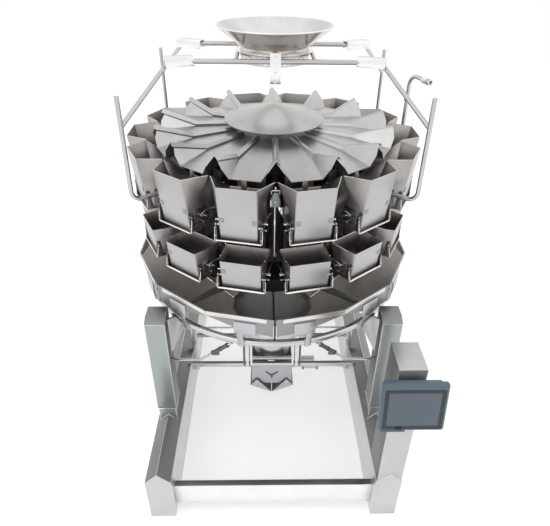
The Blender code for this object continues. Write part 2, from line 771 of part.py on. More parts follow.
def build_heads(root):
    """All heads with their gates."""
    head = head_mesh()
    pool_gate = gate_mesh(POOL_BOTTOM_Z, POOL_BOTTOM_FRONT_R, POOL_BOTTOM_REAR_R, pool_half,
                          POOL_PIN_AXIS_R, POOL_PIN_Z)
    weigh_gate = gate_mesh(WEIGH_BOTTOM_Z, WEIGH_BOTTOM_FRONT_R, WEIGH_BOTTOM_REAR_R, weigh_half,
                           WEIGH_PIN_AXIS_R, WEIGH_PIN_Z)
    for index in range(HEADS):
        build_head(root, index, head)
        place_gate(root, f"pool_gate_{index + 1:02d}", pool_gate, index, POOL_PIN_AXIS_R, POOL_PIN_Z)
        place_gate(root, f"weigh_gate_{index + 1:02d}", weigh_gate, index, WEIGH_PIN_AXIS_R, WEIGH_PIN_Z)


def build_centre_body(root):
    """Fourteen-sided body with a skirt below and a seven-sided stem that stands on the ring's arms."""
    drum = faceted([(HOUSING_REAR_R, BODY_TOP_Z), (HOUSING_REAR_R, SKIRT_TOP_Z + SKIRT_SLOPE),
                    (SKIRT_R, SKIRT_TOP_Z), (SKIRT_R, SKIRT_BOTTOM_Z), (STEM_R + SKIRT_HOLLOW, SKIRT_BOTTOM_Z)],
                   HEADS, head_angle(0))
    stem = faceted([(STEM_R, SKIRT_BOTTOM_Z + STEM_OVERLAP), (STEM_R, STEM_BOTTOM_Z)], ARM_COUNT, 0.0)
    finish(weld([drum, stem]), "centre_body", root, DARK_STEEL, 0.5)


def trough_floor_z(r):
    """Height of a trough's floor, which falls towards its lip."""
    return between(TROUGH_INNER_Z, TROUGH_LIP_Z, r, TROUGH_INNER_R, TROUGH_LIP_R)


def trough_section(r, floor_half, top_half, rise):
    """Closed section of the channel at a distance from the axis, as eight points."""
    z = trough_floor_z(r)
    sheet = TROUGH_SHEET
    return [(-top_half, -r, z + rise), (-floor_half, -r, z), (floor_half, -r, z), (top_half, -r, z + rise),
            (top_half - sheet * 1.2, -r, z + rise + sheet * 0.3), (floor_half - sheet * 0.6, -r, z + sheet),
            (-floor_half + sheet * 0.6, -r, z + sheet), (-top_half + sheet * 1.2, -r, z + rise + sheet * 0.3)]


def trough():
    """One feeder trough: steep low walls, which widen from a bend into high wings, and an open lip."""
    inner_top = boundary_half(TROUGH_INNER_R) - TROUGH_GAP
    bend_top = boundary_half(TROUGH_BEND_R) - TROUGH_GAP
    wing_top = boundary_half(TROUGH_WING_R) - TROUGH_GAP
    bend_floor = bend_top - TROUGH_LEAN
    wing_floor = between(bend_floor, TROUGH_LIP_HALF, TROUGH_WING_R, TROUGH_BEND_R, TROUGH_LIP_R)
    stations = [
        (TROUGH_INNER_R, inner_top - TROUGH_LEAN, inner_top, TROUGH_INNER_TOP_Z),
        (TROUGH_BEND_R, bend_floor, bend_top, TROUGH_BEND_TOP_Z),
        (TROUGH_WING_R, wing_floor, wing_top, TROUGH_WING_TOP_Z),
        (TROUGH_LIP_R, TROUGH_LIP_HALF, TROUGH_LIP_HALF + TROUGH_LIP_RISE, TROUGH_LIP_Z + TROUGH_LIP_RISE),
    ]
    sections = []
    for r, floor_half, top_half, top_z in stations:
        sections.append(trough_section(r, floor_half, top_half, top_z - trough_floor_z(r)))
    bm = bmesh.new()
    loops = [[bm.verts.new(point) for point in ring] for ring in sections]
    pairs = ((0, 1), (1, 2), (2, 3), (3, 4), (4, 5), (5, 6), (6, 7), (7, 0))
    for inner, outer in zip(loops, loops[1:]):
        for i, j in pairs:
            if (i, j) in ((0, 1), (2, 3), (4, 5), (6, 7)):
                high = i if i in (0, 3, 4, 7) else j
                low = j if high == i else i
                bm.faces.new((inner[high], inner[low], outer[high]))
                bm.faces.new((inner[low], outer[low], outer[high]))
            else:
                bm.faces.new((inner[i], inner[j], outer[j], outer[i]))
    for loop in (loops[0], loops[-1]):
        for a, b, c, d in ((0, 1, 6, 7), (1, 2, 5, 6), (2, 3, 4, 5)):
            bm.faces.new((loop[a], loop[b], loop[c], loop[d]))
    return link_object("trough", bm)


def trough_posts():
    """The drive post under a trough and the light post in front of the drive housing."""
    post_top = trough_floor_z(TROUGH_POST_R) + TROUGH_SHEET / 2
    inner = box((-TROUGH_POST_HALF, -TROUGH_POST_R, BODY_TOP_Z + FIT),
                (TROUGH_POST_HALF, -TROUGH_POST_R + TROUGH_POST_THICK, post_top))
    front_r = HOUSING_FRONT_R + FIT
    front = box((-TROUGH_POST_HALF, -front_r - TROUGH_POST_THICK, TROUGH_POST_FOOT_Z),
                (TROUGH_POST_HALF, -front_r, trough_floor_z(front_r) + TROUGH_SHEET / 2))
    return [inner, front]


def build_feeder_troughs(root):
    """Fourteen troughs on one round deck, with their posts."""
    deck_z = trough_floor_z(DECK_OUTER_R) - EMBED
    deck = turned([(DECK_INNER_R, deck_z), (DECK_OUTER_R, deck_z),
                   (DECK_OUTER_R, deck_z + DECK_SHEET), (DECK_INNER_R, deck_z + DECK_SHEET)], 28)
    pattern = weld([trough()] + trough_posts())
    copies = [copy_turned(pattern, head_angle(index)) for index in range(HEADS)]
    bpy.data.objects.remove(pattern, do_unlink=True)
    finish(weld([deck] + copies), "feeder_troughs", root, PALE_STEEL)


def build_dispersion_cone(root):
    """Shallow cone on a short stem that stands on the centre body."""
    profile = [(0, CONE_APEX_Z), (CONE_TIP_R, CONE_APEX_Z - CONE_TIP_DROP), (CONE_R, CONE_RIM_Z),
               (CONE_R, CONE_RIM_Z - CONE_SHEET), (CONE_STEM_R, CONE_APEX_Z - CONE_STEM_DROP),
               (CONE_STEM_R, BODY_TOP_Z + FIT), (0, BODY_TOP_Z + FIT)]
    cone = turned(profile, 32)
    finish(cone, "dispersion_cone", root, PALE_STEEL, 0.3, smooth_angle=radians(30))


def ring_arm():
    """Radial plate from the pipe to the stem of the centre body, through a seam of the chutes."""
    outline = [(STEM_R + FIT, ARM_BOTTOM_Z), (RING_R, ARM_BOTTOM_Z + ARM_OUTER_RISE),
               (RING_R, ARM_TOP_Z - ARM_OUTER_DROP), (STEM_R + FIT, ARM_TOP_Z)]
    return radial_prism(outline, ARM_THICK / 2)


def ring_tee():
    """Clamp on the pipe that carries a chute: upright plate, strap over the pipe and a bolt."""
    back = CLAMP_FACE_R - TEE_SHEET
    plate = radial_prism([(back, TEE_BOTTOM_Z), (back, TEE_TOP_Z), (CLAMP_FACE_R, TEE_TOP_Z),
                          (CLAMP_FACE_R, TEE_BOTTOM_Z)], TEE_HALF)
    pipe_front = RING_R + RING_TUBE_R
    pipe_low = RING_Z - RING_TUBE_R
    near, far = back + STRAP_INSET, CLAMP_FACE_R - STRAP_INSET
    strap = radial_prism([(near, TEE_BOTTOM_Z + STRAP_LAP), (far, TEE_BOTTOM_Z + STRAP_LAP),
                          (far, TEE_BOTTOM_Z - STRAP_SHOULDER),
                          (pipe_front + STRAP_THICK, RING_Z + STRAP_LAP),
                          (pipe_front + STRAP_THICK, RING_Z - STRAP_GRIP),
                          (RING_R + STRAP_SHOULDER, pipe_low - STRAP_THICK),
                          (RING_R - STRAP_LAP, pipe_low - STRAP_THICK),
                          (RING_R - STRAP_LAP, RING_Z - BOLT_R), (RING_R, RING_Z + BOLT_R),
                          (near, TEE_BOTTOM_Z - STRAP_LAP)], STRAP_HALF)
    bolt_top = Vector((0, -RING_R, pipe_low - EMBED))
    bolt = round_bar(bolt_top, bolt_top - Vector((0, 0, STRAP_THICK + BOLT_DROP)), BOLT_R, 6)
    return [plate, strap, bolt]


def build_support_ring(root):
    """Pipe ring with its arms and clamps."""
    bm = bmesh.new()
    angles = [2 * pi * (i + 0.5) / RING_SIDES for i in range(RING_SIDES)]
    verts = [bm.verts.new((RING_R + RING_TUBE_R * cos(a), 0, RING_Z + RING_TUBE_R * sin(a))) for a in angles]
    edges = [bm.edges.new(pair) for pair in zip(verts, verts[1:] + verts[:1])]
    bmesh.ops.spin(bm, geom=verts + edges, axis=(0, 0, 1), cent=(0, 0, 0), angle=2 * pi,
                   steps=RING_STEPS, use_merge=True)
    bmesh.ops.remove_doubles(bm, verts=bm.verts, dist=1e-6)
    pipe = link_object("pipe", bm)
    parts = [pipe]
    for index in range(ARM_COUNT):
        parts.append(turn_mesh(ring_arm(), 2 * index * HEAD_STEP))
    for index in range(HEADS):
        parts += [turn_mesh(part, head_angle(index)) for part in ring_tee()]
    finish(weld(parts), "support_ring", root, STEEL, 0.3)


def build_discharge_chutes(root):
    """Fourteen-sided bowl of folded chutes, deep at its seven seams and shallow between them."""
    def ring(r, seam_z, fold_z=None):
        points = []
        for corner in range(HEADS):
            angle = corner * HEAD_STEP
            at_fold = corner % 2 == 1
            z = fold_z if at_fold and fold_z is not None else seam_z
            points.append((r * sin(angle), -r * cos(angle), z))
        return points

    seam_z = CHUTE_TOP_Z - CHUTE_SEAM_DEPTH
    fold_z = CHUTE_TOP_Z - CHUTE_FOLD_DEPTH
    lip_z = CHUTE_TOP_Z - CHUTE_LIP
    sheet = CHUTE_SHEET
    inner_rise = sheet * 1.3
    outer = [ring(CHUTE_R + CHUTE_LIP_OUT, CHUTE_TOP_Z), ring(CHUTE_R + CHUTE_LIP_OUT, lip_z),
             ring(CHUTE_R, lip_z), ring(CHUTE_R, seam_z, fold_z),
             ring(CHUTE_COLLAR_R, CHUTE_COLLAR_Z), ring(CHUTE_COLLAR_R, CHUTE_COLLAR_Z - CHUTE_COLLAR_DROP)]
    inner = [ring(CHUTE_COLLAR_R - sheet, CHUTE_COLLAR_Z - CHUTE_COLLAR_DROP),
             ring(CHUTE_COLLAR_R - sheet, CHUTE_COLLAR_Z + inner_rise),
             ring(CHUTE_R - sheet, seam_z + inner_rise, fold_z + inner_rise),
             ring(CHUTE_R - sheet, CHUTE_TOP_Z)]
    bowl = walled(outer + inner, crease=tuple(range(0, HEADS, 2)), name="bowl")
    slots = []
    low_z = ARM_BOTTOM_Z - ARM_SLOT_BELOW
    high_z = ARM_TOP_Z + ARM_SLOT_ABOVE
    low_r = between(CHUTE_COLLAR_R, CHUTE_R, low_z, CHUTE_COLLAR_Z, seam_z) - ARM_SLOT_MARGIN
    high_r = between(CHUTE_COLLAR_R, CHUTE_R, high_z, CHUTE_COLLAR_Z, seam_z) + ARM_SLOT_MARGIN
    for index in range(ARM_COUNT):
        slot_half = ARM_THICK / 2 + ARM_SLOT_GAP
        slot = box((-slot_half, -high_r, low_z), (slot_half, -low_r, high_z))
        slots.append(turn_mesh(slot, 2 * index * HEAD_STEP))
    finish(cut(bowl, slots), "discharge_chutes", root, DARK_STEEL, 0.4)


def build_collecting_funnel(root):
    """Round funnel from the chutes' collar down into the timing hopper."""
    sheet = FUNNEL_SHEET
    top_z = CHUTE_COLLAR_Z - CHUTE_COLLAR_DROP - FIT
    slope = FUNNEL_SHOULDER
    profile = [(FUNNEL_TOP_R, top_z), (FUNNEL_TOP_R, top_z - sheet),
               (CHUTE_COLLAR_R, top_z - sheet), (CHUTE_COLLAR_R, top_z - slope),
               (FUNNEL_BOTTOM_R, FUNNEL_BOTTOM_Z), (FUNNEL_BOTTOM_R, FUNNEL_SPOUT_Z),
               (FUNNEL_BOTTOM_R - sheet, FUNNEL_SPOUT_Z), (FUNNEL_BOTTOM_R - sheet, FUNNEL_BOTTOM_Z + EMBED),
               (CHUTE_COLLAR_R - 2 * sheet, top_z - slope + EMBED), (CHUTE_COLLAR_R - 2 * sheet, top_z)]
    funnel = turned(profile, 28)
    finish(funnel, "collecting_funnel", root, STEEL, 0.35, smooth_angle=radians(30))


def beam_roof_z(x):
    """Height of a side beam's roof at a distance x from the middle of the machine."""
    return BEAM_RIDGE_Z - abs(x - BEAM_X) * (BEAM_RIDGE_Z - BEAM_EAVE_Z) / BEAM_HALF


def side_beam():
    """House-shaped beam on the right-hand side."""
    outline = [(BEAM_X - BEAM_HALF, 0), (BEAM_X + BEAM_HALF, 0), (BEAM_X + BEAM_HALF, BEAM_EAVE_Z),
               (BEAM_X, BEAM_RIDGE_Z), (BEAM_X - BEAM_HALF, BEAM_EAVE_Z)]
    points = [(x, -BEAM_HALF_LENGTH, z) for x, z in outline]
    return prism(points, (0, 2 * BEAM_HALF_LENGTH, 0))


def column():
    """Front right column with a sloped cap, on a stub with a thin flange."""
    front = COLUMN_FRONT_Y
    rear = COLUMN_FRONT_Y - COLUMN_DEPTH
    outline = [(front, COLUMN_FOOT_Z), (front, COLUMN_SHOULDER_Z),
               (front - COLUMN_SHOULDER_DEPTH, COLUMN_TOP_Z), (rear, COLUMN_TOP_Z), (rear, COLUMN_FOOT_Z)]
    low_x = BEAM_X - COLUMN_HALF
    shaft = prism([(low_x, -y, z) for y, z in outline], (2 * COLUMN_HALF, 0, 0))
    high_x = low_x + 2 * COLUMN_HALF
    stub = box((low_x + STUB_INSET, -front + STUB_INSET, BEAM_EAVE_Z),
               (high_x - STUB_INSET, -rear - STUB_INSET, COLUMN_FOOT_Z + EMBED))
    flange_z = COLUMN_FOOT_Z - FLANGE_GAP
    flange = box((low_x - FLANGE_OUT, -front - FLANGE_OUT, flange_z - COLUMN_FLANGE),
                 (high_x + FLANGE_OUT, -rear + FLANGE_OUT, flange_z))
    return [shaft, stub, flange]


def gusset():
    """Plate from the front right column to the ring, with a notch that the pipe lies in."""
    root_x = BEAM_X - COLUMN_HALF + GUSSET_LAP
    root_y = COLUMN_FRONT_Y - COLUMN_DEPTH / 2
    outer_r = sqrt(root_x ** 2 + root_y ** 2)
    angle = atan2(root_x, root_y)
    seat = RING_TUBE_R + GUSSET_RING_GAP
    arc = [(RING_R - seat * cos(a), RING_Z - seat * sin(a)) for a in [pi * k / 8 for k in range(9)]]
    outline = [(GUSSET_INNER_R, GUSSET_INNER_Z), (GUSSET_INNER_R, GUSSET_INNER_TOP_Z)]
    outline += arc
    outline += [(arc[-1][0], GUSSET_TOP_Z), (outer_r, GUSSET_TOP_Z), (outer_r, GUSSET_OUTER_Z)]
    plate = radial_prism(outline, GUSSET_THICK / 2)
    return turn_mesh(plate, angle)


def stay_rod():
    """Bent rod from the front right column to the underside of the ring, with its clamp sleeve."""
    inner_x = BEAM_X - COLUMN_HALF
    end_r = RING_R - 2 * EMBED
    below = RING_Z - RING_TUBE_R - STAY_R - FIT * 3
    bends = [(inner_x - side, -COLUMN_FRONT_Y + back, z) for side, back, z in (STAY_NEAR, STAY_FAR)]
    points = [(inner_x + STAY_LAP, -STAY_ROOT_Y, STAY_ROOT_Z)] + bends
    points.append((end_r * sin(STAY_ANGLE), -end_r * cos(STAY_ANGLE), below))
    path = rounded_path(points, STAY_BEND, 3)
    rod = tube(path, STAY_R, 2)
    start = Vector(points[2]).lerp(Vector(points[3]), STAY_SLEEVE_FROM)
    end = Vector(points[2]).lerp(Vector(points[3]), STAY_SLEEVE_TO)
    sleeve = round_bar(start, end, STAY_SLEEVE_R, 8)
    middle = Vector(points[2]).lerp(Vector(points[3]), STAY_WING_AT)
    wing = box(middle - Vector((STAY_WING_HALF, STAY_WING_THICK_HALF, STAY_WING_DROP)),
               middle + Vector((STAY_WING_HALF, STAY_WING_THICK_HALF, 0)))
    return [rod, sleeve, wing]


def build_side_frames(root):
    """Left and right side frames: beam, two columns, gussets and the front stay rod."""
    parts = [side_beam()]
    for turn_back in (False, True):
        for part in column() + [gusset()]:
            if turn_back:
                twin = mirrored(part, 1)
                bpy.data.objects.remove(part, do_unlink=True)
                part = twin
            parts.append(part)
    right = weld(parts + stay_rod())
    left = mirrored(right, 0)
    finish(right, "side_frame_right", root, GREY_STEEL, 0.4)
    finish(left, "side_frame_left", root, GREY_STEEL, 0.4)


def build_crossbeams(root):
    """Plates between the side beams at both ends."""
    reach = BEAM_X - BEAM_HALF - FIT
    front = box((-reach, -CROSSBEAM_FRONT_Y, CROSSBEAM_BOTTOM_Z),
                (reach, -CROSSBEAM_FRONT_Y + CROSSBEAM_DEPTH, CROSSBEAM_TOP_Z))
    rear = mirrored(front, 1)
    finish(front, "front_crossbeam", root, PALE_STEEL, 0.3)
    finish(rear, "rear_crossbeam", root, PALE_STEEL, 0.3)


def timing_box():
    """Walls of the timing hopper, open above and below."""
    half = TIMING_HALF
    depth = TIMING_DEPTH_HALF
    outline = [(-half, -depth), (half, -depth), (half, depth), (-half, depth)]
    inner = inset_outline(outline, TIMING_SHEET)
    rings = [[(x, y, TIMING_TOP_Z) for x, y in outline], [(x, y, TIMING_BOTTOM_Z) for x, y in outline],
             [(x, y, TIMING_BOTTOM_Z) for x, y in inner], [(x, y, TIMING_TOP_Z) for x, y in inner]]
    return walled(rings, crease=(), name="timing_box")


def build_timing_hopper(root):
    """Timing hopper with the frame that hangs it between the side beams."""
    reach = BEAM_X - BEAM_HALF - FIT
    half = TIMING_POST / 2
    depth = TIMING_DEPTH_HALF
    bar = TIMING_BAR
    parts = [timing_box()]
    for side in (-1, 1):
        outer = side * reach
        inner = side * (reach - TIMING_POST)
        parts.append(box((min(outer, inner), -half, TIMING_POST_BOTTOM_Z),
                         (max(outer, inner), half, TIMING_POST_TOP_Z)))
        wall = side * (TIMING_HALF - TIMING_SHEET / 2)
        tail = side * (reach - TIMING_POST / 2)
        parts.append(box((min(wall, tail), -half + BAR_INSET, TIMING_BAR_Z - bar / 2),
                         (max(wall, tail), half - BAR_INSET, TIMING_BAR_Z + bar / 2)))
        low = side * SIDE_STRAP_X
        high = side * (SIDE_STRAP_X + STRAP_SHEET)
        parts.append(box((min(low, high), -half - SIDE_STRAP_OUT, TIMING_BAR_Z),
                         (max(low, high), half + SIDE_STRAP_OUT, TIMING_TOP_BAR_Z + BAR_INSET)))
        for face in (-1, 1):
            strap_in = side * FRONT_STRAP_X
            strap_out = side * (FRONT_STRAP_X + STRAP_SHEET)
            near = face * (depth - TIMING_SHEET / 2)
            far = face * (depth + FRONT_STRAP_DEPTH)
            parts.append(box((min(strap_in, strap_out), min(near, far), TIMING_BAR_Z + FRONT_STRAP_RISE),
                             (max(strap_in, strap_out), max(near, far), FRONT_STRAP_TOP_Z)))
            root_y = face * (depth - TIMING_SHEET / 2)
            tip_y = face * (depth + SWING_GAP + TIMING_SHEET + TIMING_PIN_END)
            pin_x = side * TIMING_PIN_X
            parts.append(round_bar((pin_x, root_y, TIMING_PIN_Z), (pin_x, tip_y, TIMING_PIN_Z),
                                   TIMING_PIN_R, PIN_SIDES))
    thin = TIMING_TOP_BAR / 2
    parts.append(box((-reach + TIMING_POST / 2, -thin, TIMING_TOP_BAR_Z - thin),
                     (-SIDE_STRAP_X - BAR_INSET, thin, TIMING_TOP_BAR_Z + thin)))
    parts.append(box((SIDE_STRAP_X + BAR_INSET, -thin, TIMING_TOP_BAR_Z - thin),
                     (reach - TIMING_POST / 2, thin, TIMING_TOP_BAR_Z + thin)))
    roller_y = -depth - ROLLER_OUT
    roller_x = FRONT_STRAP_X + EMBED
    parts.append(round_bar((-roller_x, roller_y, ROLLER_Z), (roller_x, roller_y, ROLLER_Z), ROLLER_R, 8))
    cylinder_x = TIMING_HALF + CYLINDER_OUT
    cylinder_z = TIMING_BAR_Z + CYLINDER_RISE
    cylinder_end = (cylinder_x + CYLINDER_LENGTH, 0, cylinder_z + CYLINDER_CLIMB)
    parts.append(round_bar((cylinder_x, 0, cylinder_z), cylinder_end, CYLINDER_R, 12))
    parts.append(round_bar((TIMING_HALF - TIMING_SHEET / 2, 0, cylinder_z - PISTON_DROP),
                           (cylinder_x + EMBED, 0, cylinder_z), PISTON_R, 8))
    finish(weld(parts), "timing_hopper", root, STEEL)


def timing_leaf(side):
    """One leaf of the timing gate with its pin axis at the origin."""
    arm_in = TIMING_DEPTH_HALF + SWING_GAP
    arm_out = arm_in + TIMING_SHEET
    sheet = TIMING_SHEET
    hinge_to_wall = TIMING_HALF - TIMING_PIN_X
    outer_x = hinge_to_wall + SWING_GAP
    tip_x = -TIMING_PIN_X + TIMING_TIP_GAP
    tip_z = TIMING_LEAF_TIP_Z - TIMING_PIN_Z
    shoulder_z = TIMING_BOTTOM_Z - TIMING_PIN_Z - TIMING_LEAF_DROP
    edge_z = shoulder_z + TIMING_LEAF_EDGE
    outline = [(outer_x + sheet, shoulder_z), (outer_x + sheet, edge_z), (outer_x, edge_z),
               (tip_x, tip_z + sheet * 1.3), (tip_x, tip_z)]
    plate = prism([(x, -arm_out + FIT, z) for x, z in outline], (0, 2 * (arm_out - FIT), 0))
    parts = [plate]
    hole_r = (TIMING_PIN_R + GATE_PIN_PLAY) / cos(pi / PIN_SIDES)
    eye = TIMING_EYE_R
    for face in (-1, 1):
        shape = [(tip_x, tip_z + EMBED), (outer_x + EMBED, shoulder_z + EMBED)]
        shape += [(eye * cos(a), eye * sin(a)) for a in (0.0, pi / 4, pi / 2, 3 * pi / 4, pi)]
        arm = prism([(x, face * arm_in, z) for x, z in shape], (0, face * sheet, 0))
        hole = round_bar((0, face * (arm_in - sheet), 0), (0, face * (arm_out + sheet), 0), hole_r, PIN_SIDES)
        parts.append(cut(arm, [hole]))
    leaf = weld(parts)
    if side < 0:
        twin = mirrored(leaf, 0)
        bpy.data.objects.remove(leaf, do_unlink=True)
        leaf = twin
    leaf.location = (side * TIMING_PIN_X, 0, TIMING_PIN_Z)
    return leaf


def build_timing_gates(root):
    """The two leaves that close the timing hopper."""
    finish(timing_leaf(-1), "timing_gate_left", root, PALE_STEEL)
    finish(timing_leaf(1), "timing_gate_right", root, PALE_STEEL)


def guard_corner():
    """Post, slanted rail and sleeve at the front right corner."""
    foot = Vector((sin(GUARD_ANGLE), -cos(GUARD_ANGLE), 0))
    inner = foot * (HOUSING_REAR_R / cos(HEAD_STEP / 2) + FIT)
    outer = foot * GUARD_POST_R
    lift = Vector((0, 0, GUARD_ELBOW_Z))
    path = rounded_path([inner + lift, outer + lift, outer + Vector((0, 0, GUARD_TOP_Z))], GUARD_BEND_R, 4)
    rail_end = Vector((RAIL_HALF, -RAIL_Y, RAIL_Z))
    rail_foot = outer + Vector((0, 0, SLANT_FOOT_Z))
    slant = tube([rail_foot, rail_end], GUARD_TUBE_R, 2)
    sleeve = box((-SLEEVE_LENGTH / 2, -SLEEVE_WIDTH / 2, -SLEEVE_HEIGHT / 2),
                 (SLEEVE_LENGTH / 2, SLEEVE_WIDTH / 2, SLEEVE_HEIGHT / 2))
    lean = atan2(-(outer.y - rail_end.y), outer.x - rail_end.x) * SLEEVE_LEAN
    middle = rail_end - Vector((SLEEVE_SHIFT, 0, 0))
    sleeve.data.transform(Matrix.Translation(middle) @ Matrix.Rotation(-lean, 4, "Z"))
    return weld([tube(path, GUARD_TUBE_R, 2), slant, sleeve])


def build_guard_frame(root):
    """Four bent posts with slanted rails, two top rails, funnel bars and the sensor plate."""
    corner = guard_corner()
    parts = [corner, mirrored(corner, 0), mirrored(corner, 1)]
    parts.append(mirrored(parts[1], 1))
    for side in (-1, 1):
        parts.append(tube([(-RAIL_HALF, side * RAIL_Y, RAIL_Z), (RAIL_HALF, side * RAIL_Y, RAIL_Z)], RAIL_R, 2))
    bar_x = INFEED_NECK_R + RAIL_R + FIT
    for side in (-1, 1):
        parts.append(tube([(side * bar_x, -RAIL_Y, RAIL_Z), (side * bar_x, RAIL_Y, RAIL_Z)], RAIL_R * 0.8, 2))
    plate_y = -RAIL_Y - RAIL_R + SENSOR_THICK / 2
    parts.append(box((-SENSOR_HALF, plate_y - SENSOR_THICK, SENSOR_BOTTOM_Z),
                     (SENSOR_HALF, plate_y, SENSOR_TOP_Z)))
    finish(weld(parts), "guard_frame", root, STEEL, 0.3)


def build_infeed_funnel(root):
    """Conical infeed with a collar whose flange rests on the guard frame's bars."""
    sheet = INFEED_SHEET
    flange_z = RAIL_Z + RAIL_R * 0.8 + FIT
    profile = [(INFEED_RIM_R, INFEED_RIM_Z), (INFEED_NECK_R, INFEED_NECK_Z), (INFEED_NECK_R, flange_z + sheet),
               (INFEED_NECK_R + INFEED_FLANGE, flange_z + sheet), (INFEED_NECK_R + INFEED_FLANGE, flange_z),
               (INFEED_NECK_R, flange_z), (INFEED_NECK_R, INFEED_BOTTOM_Z),
               (INFEED_NECK_R - sheet, INFEED_BOTTOM_Z), (INFEED_NECK_R - sheet, INFEED_NECK_Z + sheet * 0.6),
               (INFEED_RIM_R - sheet * 1.3, INFEED_RIM_Z)]
    funnel = turned(profile, 32)
    finish(funnel, "infeed_funnel", root, PALE_STEEL, 0.2, smooth_angle=radians(30))


def build_control_post(root):
    """Upright post whose foot is cut to the roof of the right side beam."""
    gap = FIT * sqrt(1 + ((BEAM_RIDGE_Z - BEAM_EAVE_Z) / BEAM_HALF) ** 2)
    outline = [(POST_INNER_X, beam_roof_z(POST_INNER_X) + gap), (BEAM_X, BEAM_RIDGE_Z + gap),
               (POST_OUTER_X, beam_roof_z(POST_OUTER_X) + gap), (POST_OUTER_X, POST_TOP_Z),
               (POST_INNER_X, POST_TOP_Z)]
    post = prism([(x, -BEAM_HALF_LENGTH, z) for x, z in outline], (0, POST_DEPTH, 0))
    finish(post, "control_post", root, GREY_STEEL, 0.4)


def build_control_panel(root):
    """Tilted housing with a recessed screen, on a bracket from the control post, and a tray below."""
    half_height = PANEL_HEIGHT / 2
    housing = box((-PANEL_HALF, 0, -half_height), (PANEL_HALF, PANEL_DEPTH, half_height))
    bm = bmesh.new()
    bm.from_mesh(housing.data)
    bmesh.ops.bevel(bm, geom=list(bm.edges), offset=PANEL_EDGE, segments=2, affect="EDGES")
    bm.to_mesh(housing.data)
    bm.free()
    recess = box((-SCREEN_HALF, -0.01, -SCREEN_HEIGHT / 2 + SCREEN_RISE),
                 (SCREEN_HALF, PANEL_RECESS, SCREEN_HEIGHT / 2 + SCREEN_RISE))
    housing = cut(housing, [recess])
    place = Matrix.Translation((PANEL_X, -PANEL_FRONT_Y, PANEL_Z)) @ Matrix.Rotation(-PANEL_TILT, 4, "X")
    housing.data.transform(place)
    post_face = -BEAM_HALF_LENGTH - FIT
    arm = box((PANEL_X - BRACKET_HALF, -PANEL_FRONT_Y + PANEL_DEPTH / 2, PANEL_Z - BRACKET_HEIGHT_HALF),
              (PANEL_X + BRACKET_HALF, post_face, PANEL_Z + BRACKET_HEIGHT_HALF))
    tray_z = PANEL_Z - half_height - TRAY_DROP
    tray_x = PANEL_X - PANEL_HALF + TRAY_INSET
    tray = box((tray_x, -PANEL_FRONT_Y - TRAY_FRONT, tray_z),
               (tray_x + TRAY_WIDTH, -PANEL_FRONT_Y + TRAY_REAR, tray_z + TRAY_SHEET))
    hook = box((tray_x + HOOK_INSET, -PANEL_FRONT_Y + HOOK_FRONT, tray_z + EMBED),
               (tray_x + TRAY_WIDTH - HOOK_INSET, -PANEL_FRONT_Y + HOOK_FRONT + HOOK_SHEET,
                PANEL_Z - half_height + HOOK_LAP))
    finish(weld([housing, arm, tray, hook]), "control_panel", root, (0.11, 0.17, 0.23), 0.45, 0.0)


def build_conduit(root):
    """Bent conduit that rises between two heads and ends in a threaded connector."""
    way = Vector((sin(CONDUIT_ANGLE), -cos(CONDUIT_ANGLE), 0))
    inner = way * (HOUSING_REAR_R / cos(HEAD_STEP / 2) + FIT)
    outer = way * CONDUIT_REACH
    tip = Vector((CONDUIT_TIP_X, CONDUIT_TIP_Y, CONDUIT_TOP_Z - CONDUIT_TIP_DROP))
    level = Vector((0, 0, GUARD_ELBOW_Z))
    top = outer + Vector((0, 0, CONDUIT_TOP_Z))
    path = rounded_path([inner + level, outer + level, top, tip], CONDUIT_BEND_R, 5)
    back = (top - tip).normalized()
    fitting = round_bar(tip + back * FITTING_LENGTH, tip, FITTING_R, 12)
    conduit = weld([tube(path, CONDUIT_R, 3), fitting])
    finish(conduit, "conduit_gooseneck", root, STEEL, 0.35, smooth_angle=radians(35))


def build():
    """Model the whole machine."""
    clear_scene()
    root = bpy.data.objects.new("machine_axis", None)
    bpy.context.scene.collection.objects.link(root)
    root.location = (AXIS_X, AXIS_Y, 0)
    build_side_frames(root)
    build_crossbeams(root)
    build_support_ring(root)
    build_discharge_chutes(root)
    build_collecting_funnel(root)
    build_timing_hopper(root)
    build_timing_gates(root)
    build_centre_body(root)
    build_heads(root)
    build_feeder_troughs(root)
    build_dispersion_cone(root)
    build_guard_frame(root)
    build_infeed_funnel(root)
    build_control_post(root)
    build_control_panel(root)
    build_conduit(root)


build()
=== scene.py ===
"""Looks of a fourteen-head combination weigher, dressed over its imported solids.

Units are metres, +Z is up and the front of the machine faces -Y. A head is drawn once, facing the
front and centred on the machine's vertical axis, and its copies are turned about that axis.
"""

import logging
from dataclasses import dataclass
from enum import Enum
from math import atan2, cos, hypot, pi, radians, sin, tan
from typing import Callable, Iterable, Iterator, Sequence

import bmesh
import bpy
from mathutils import Matrix, Vector


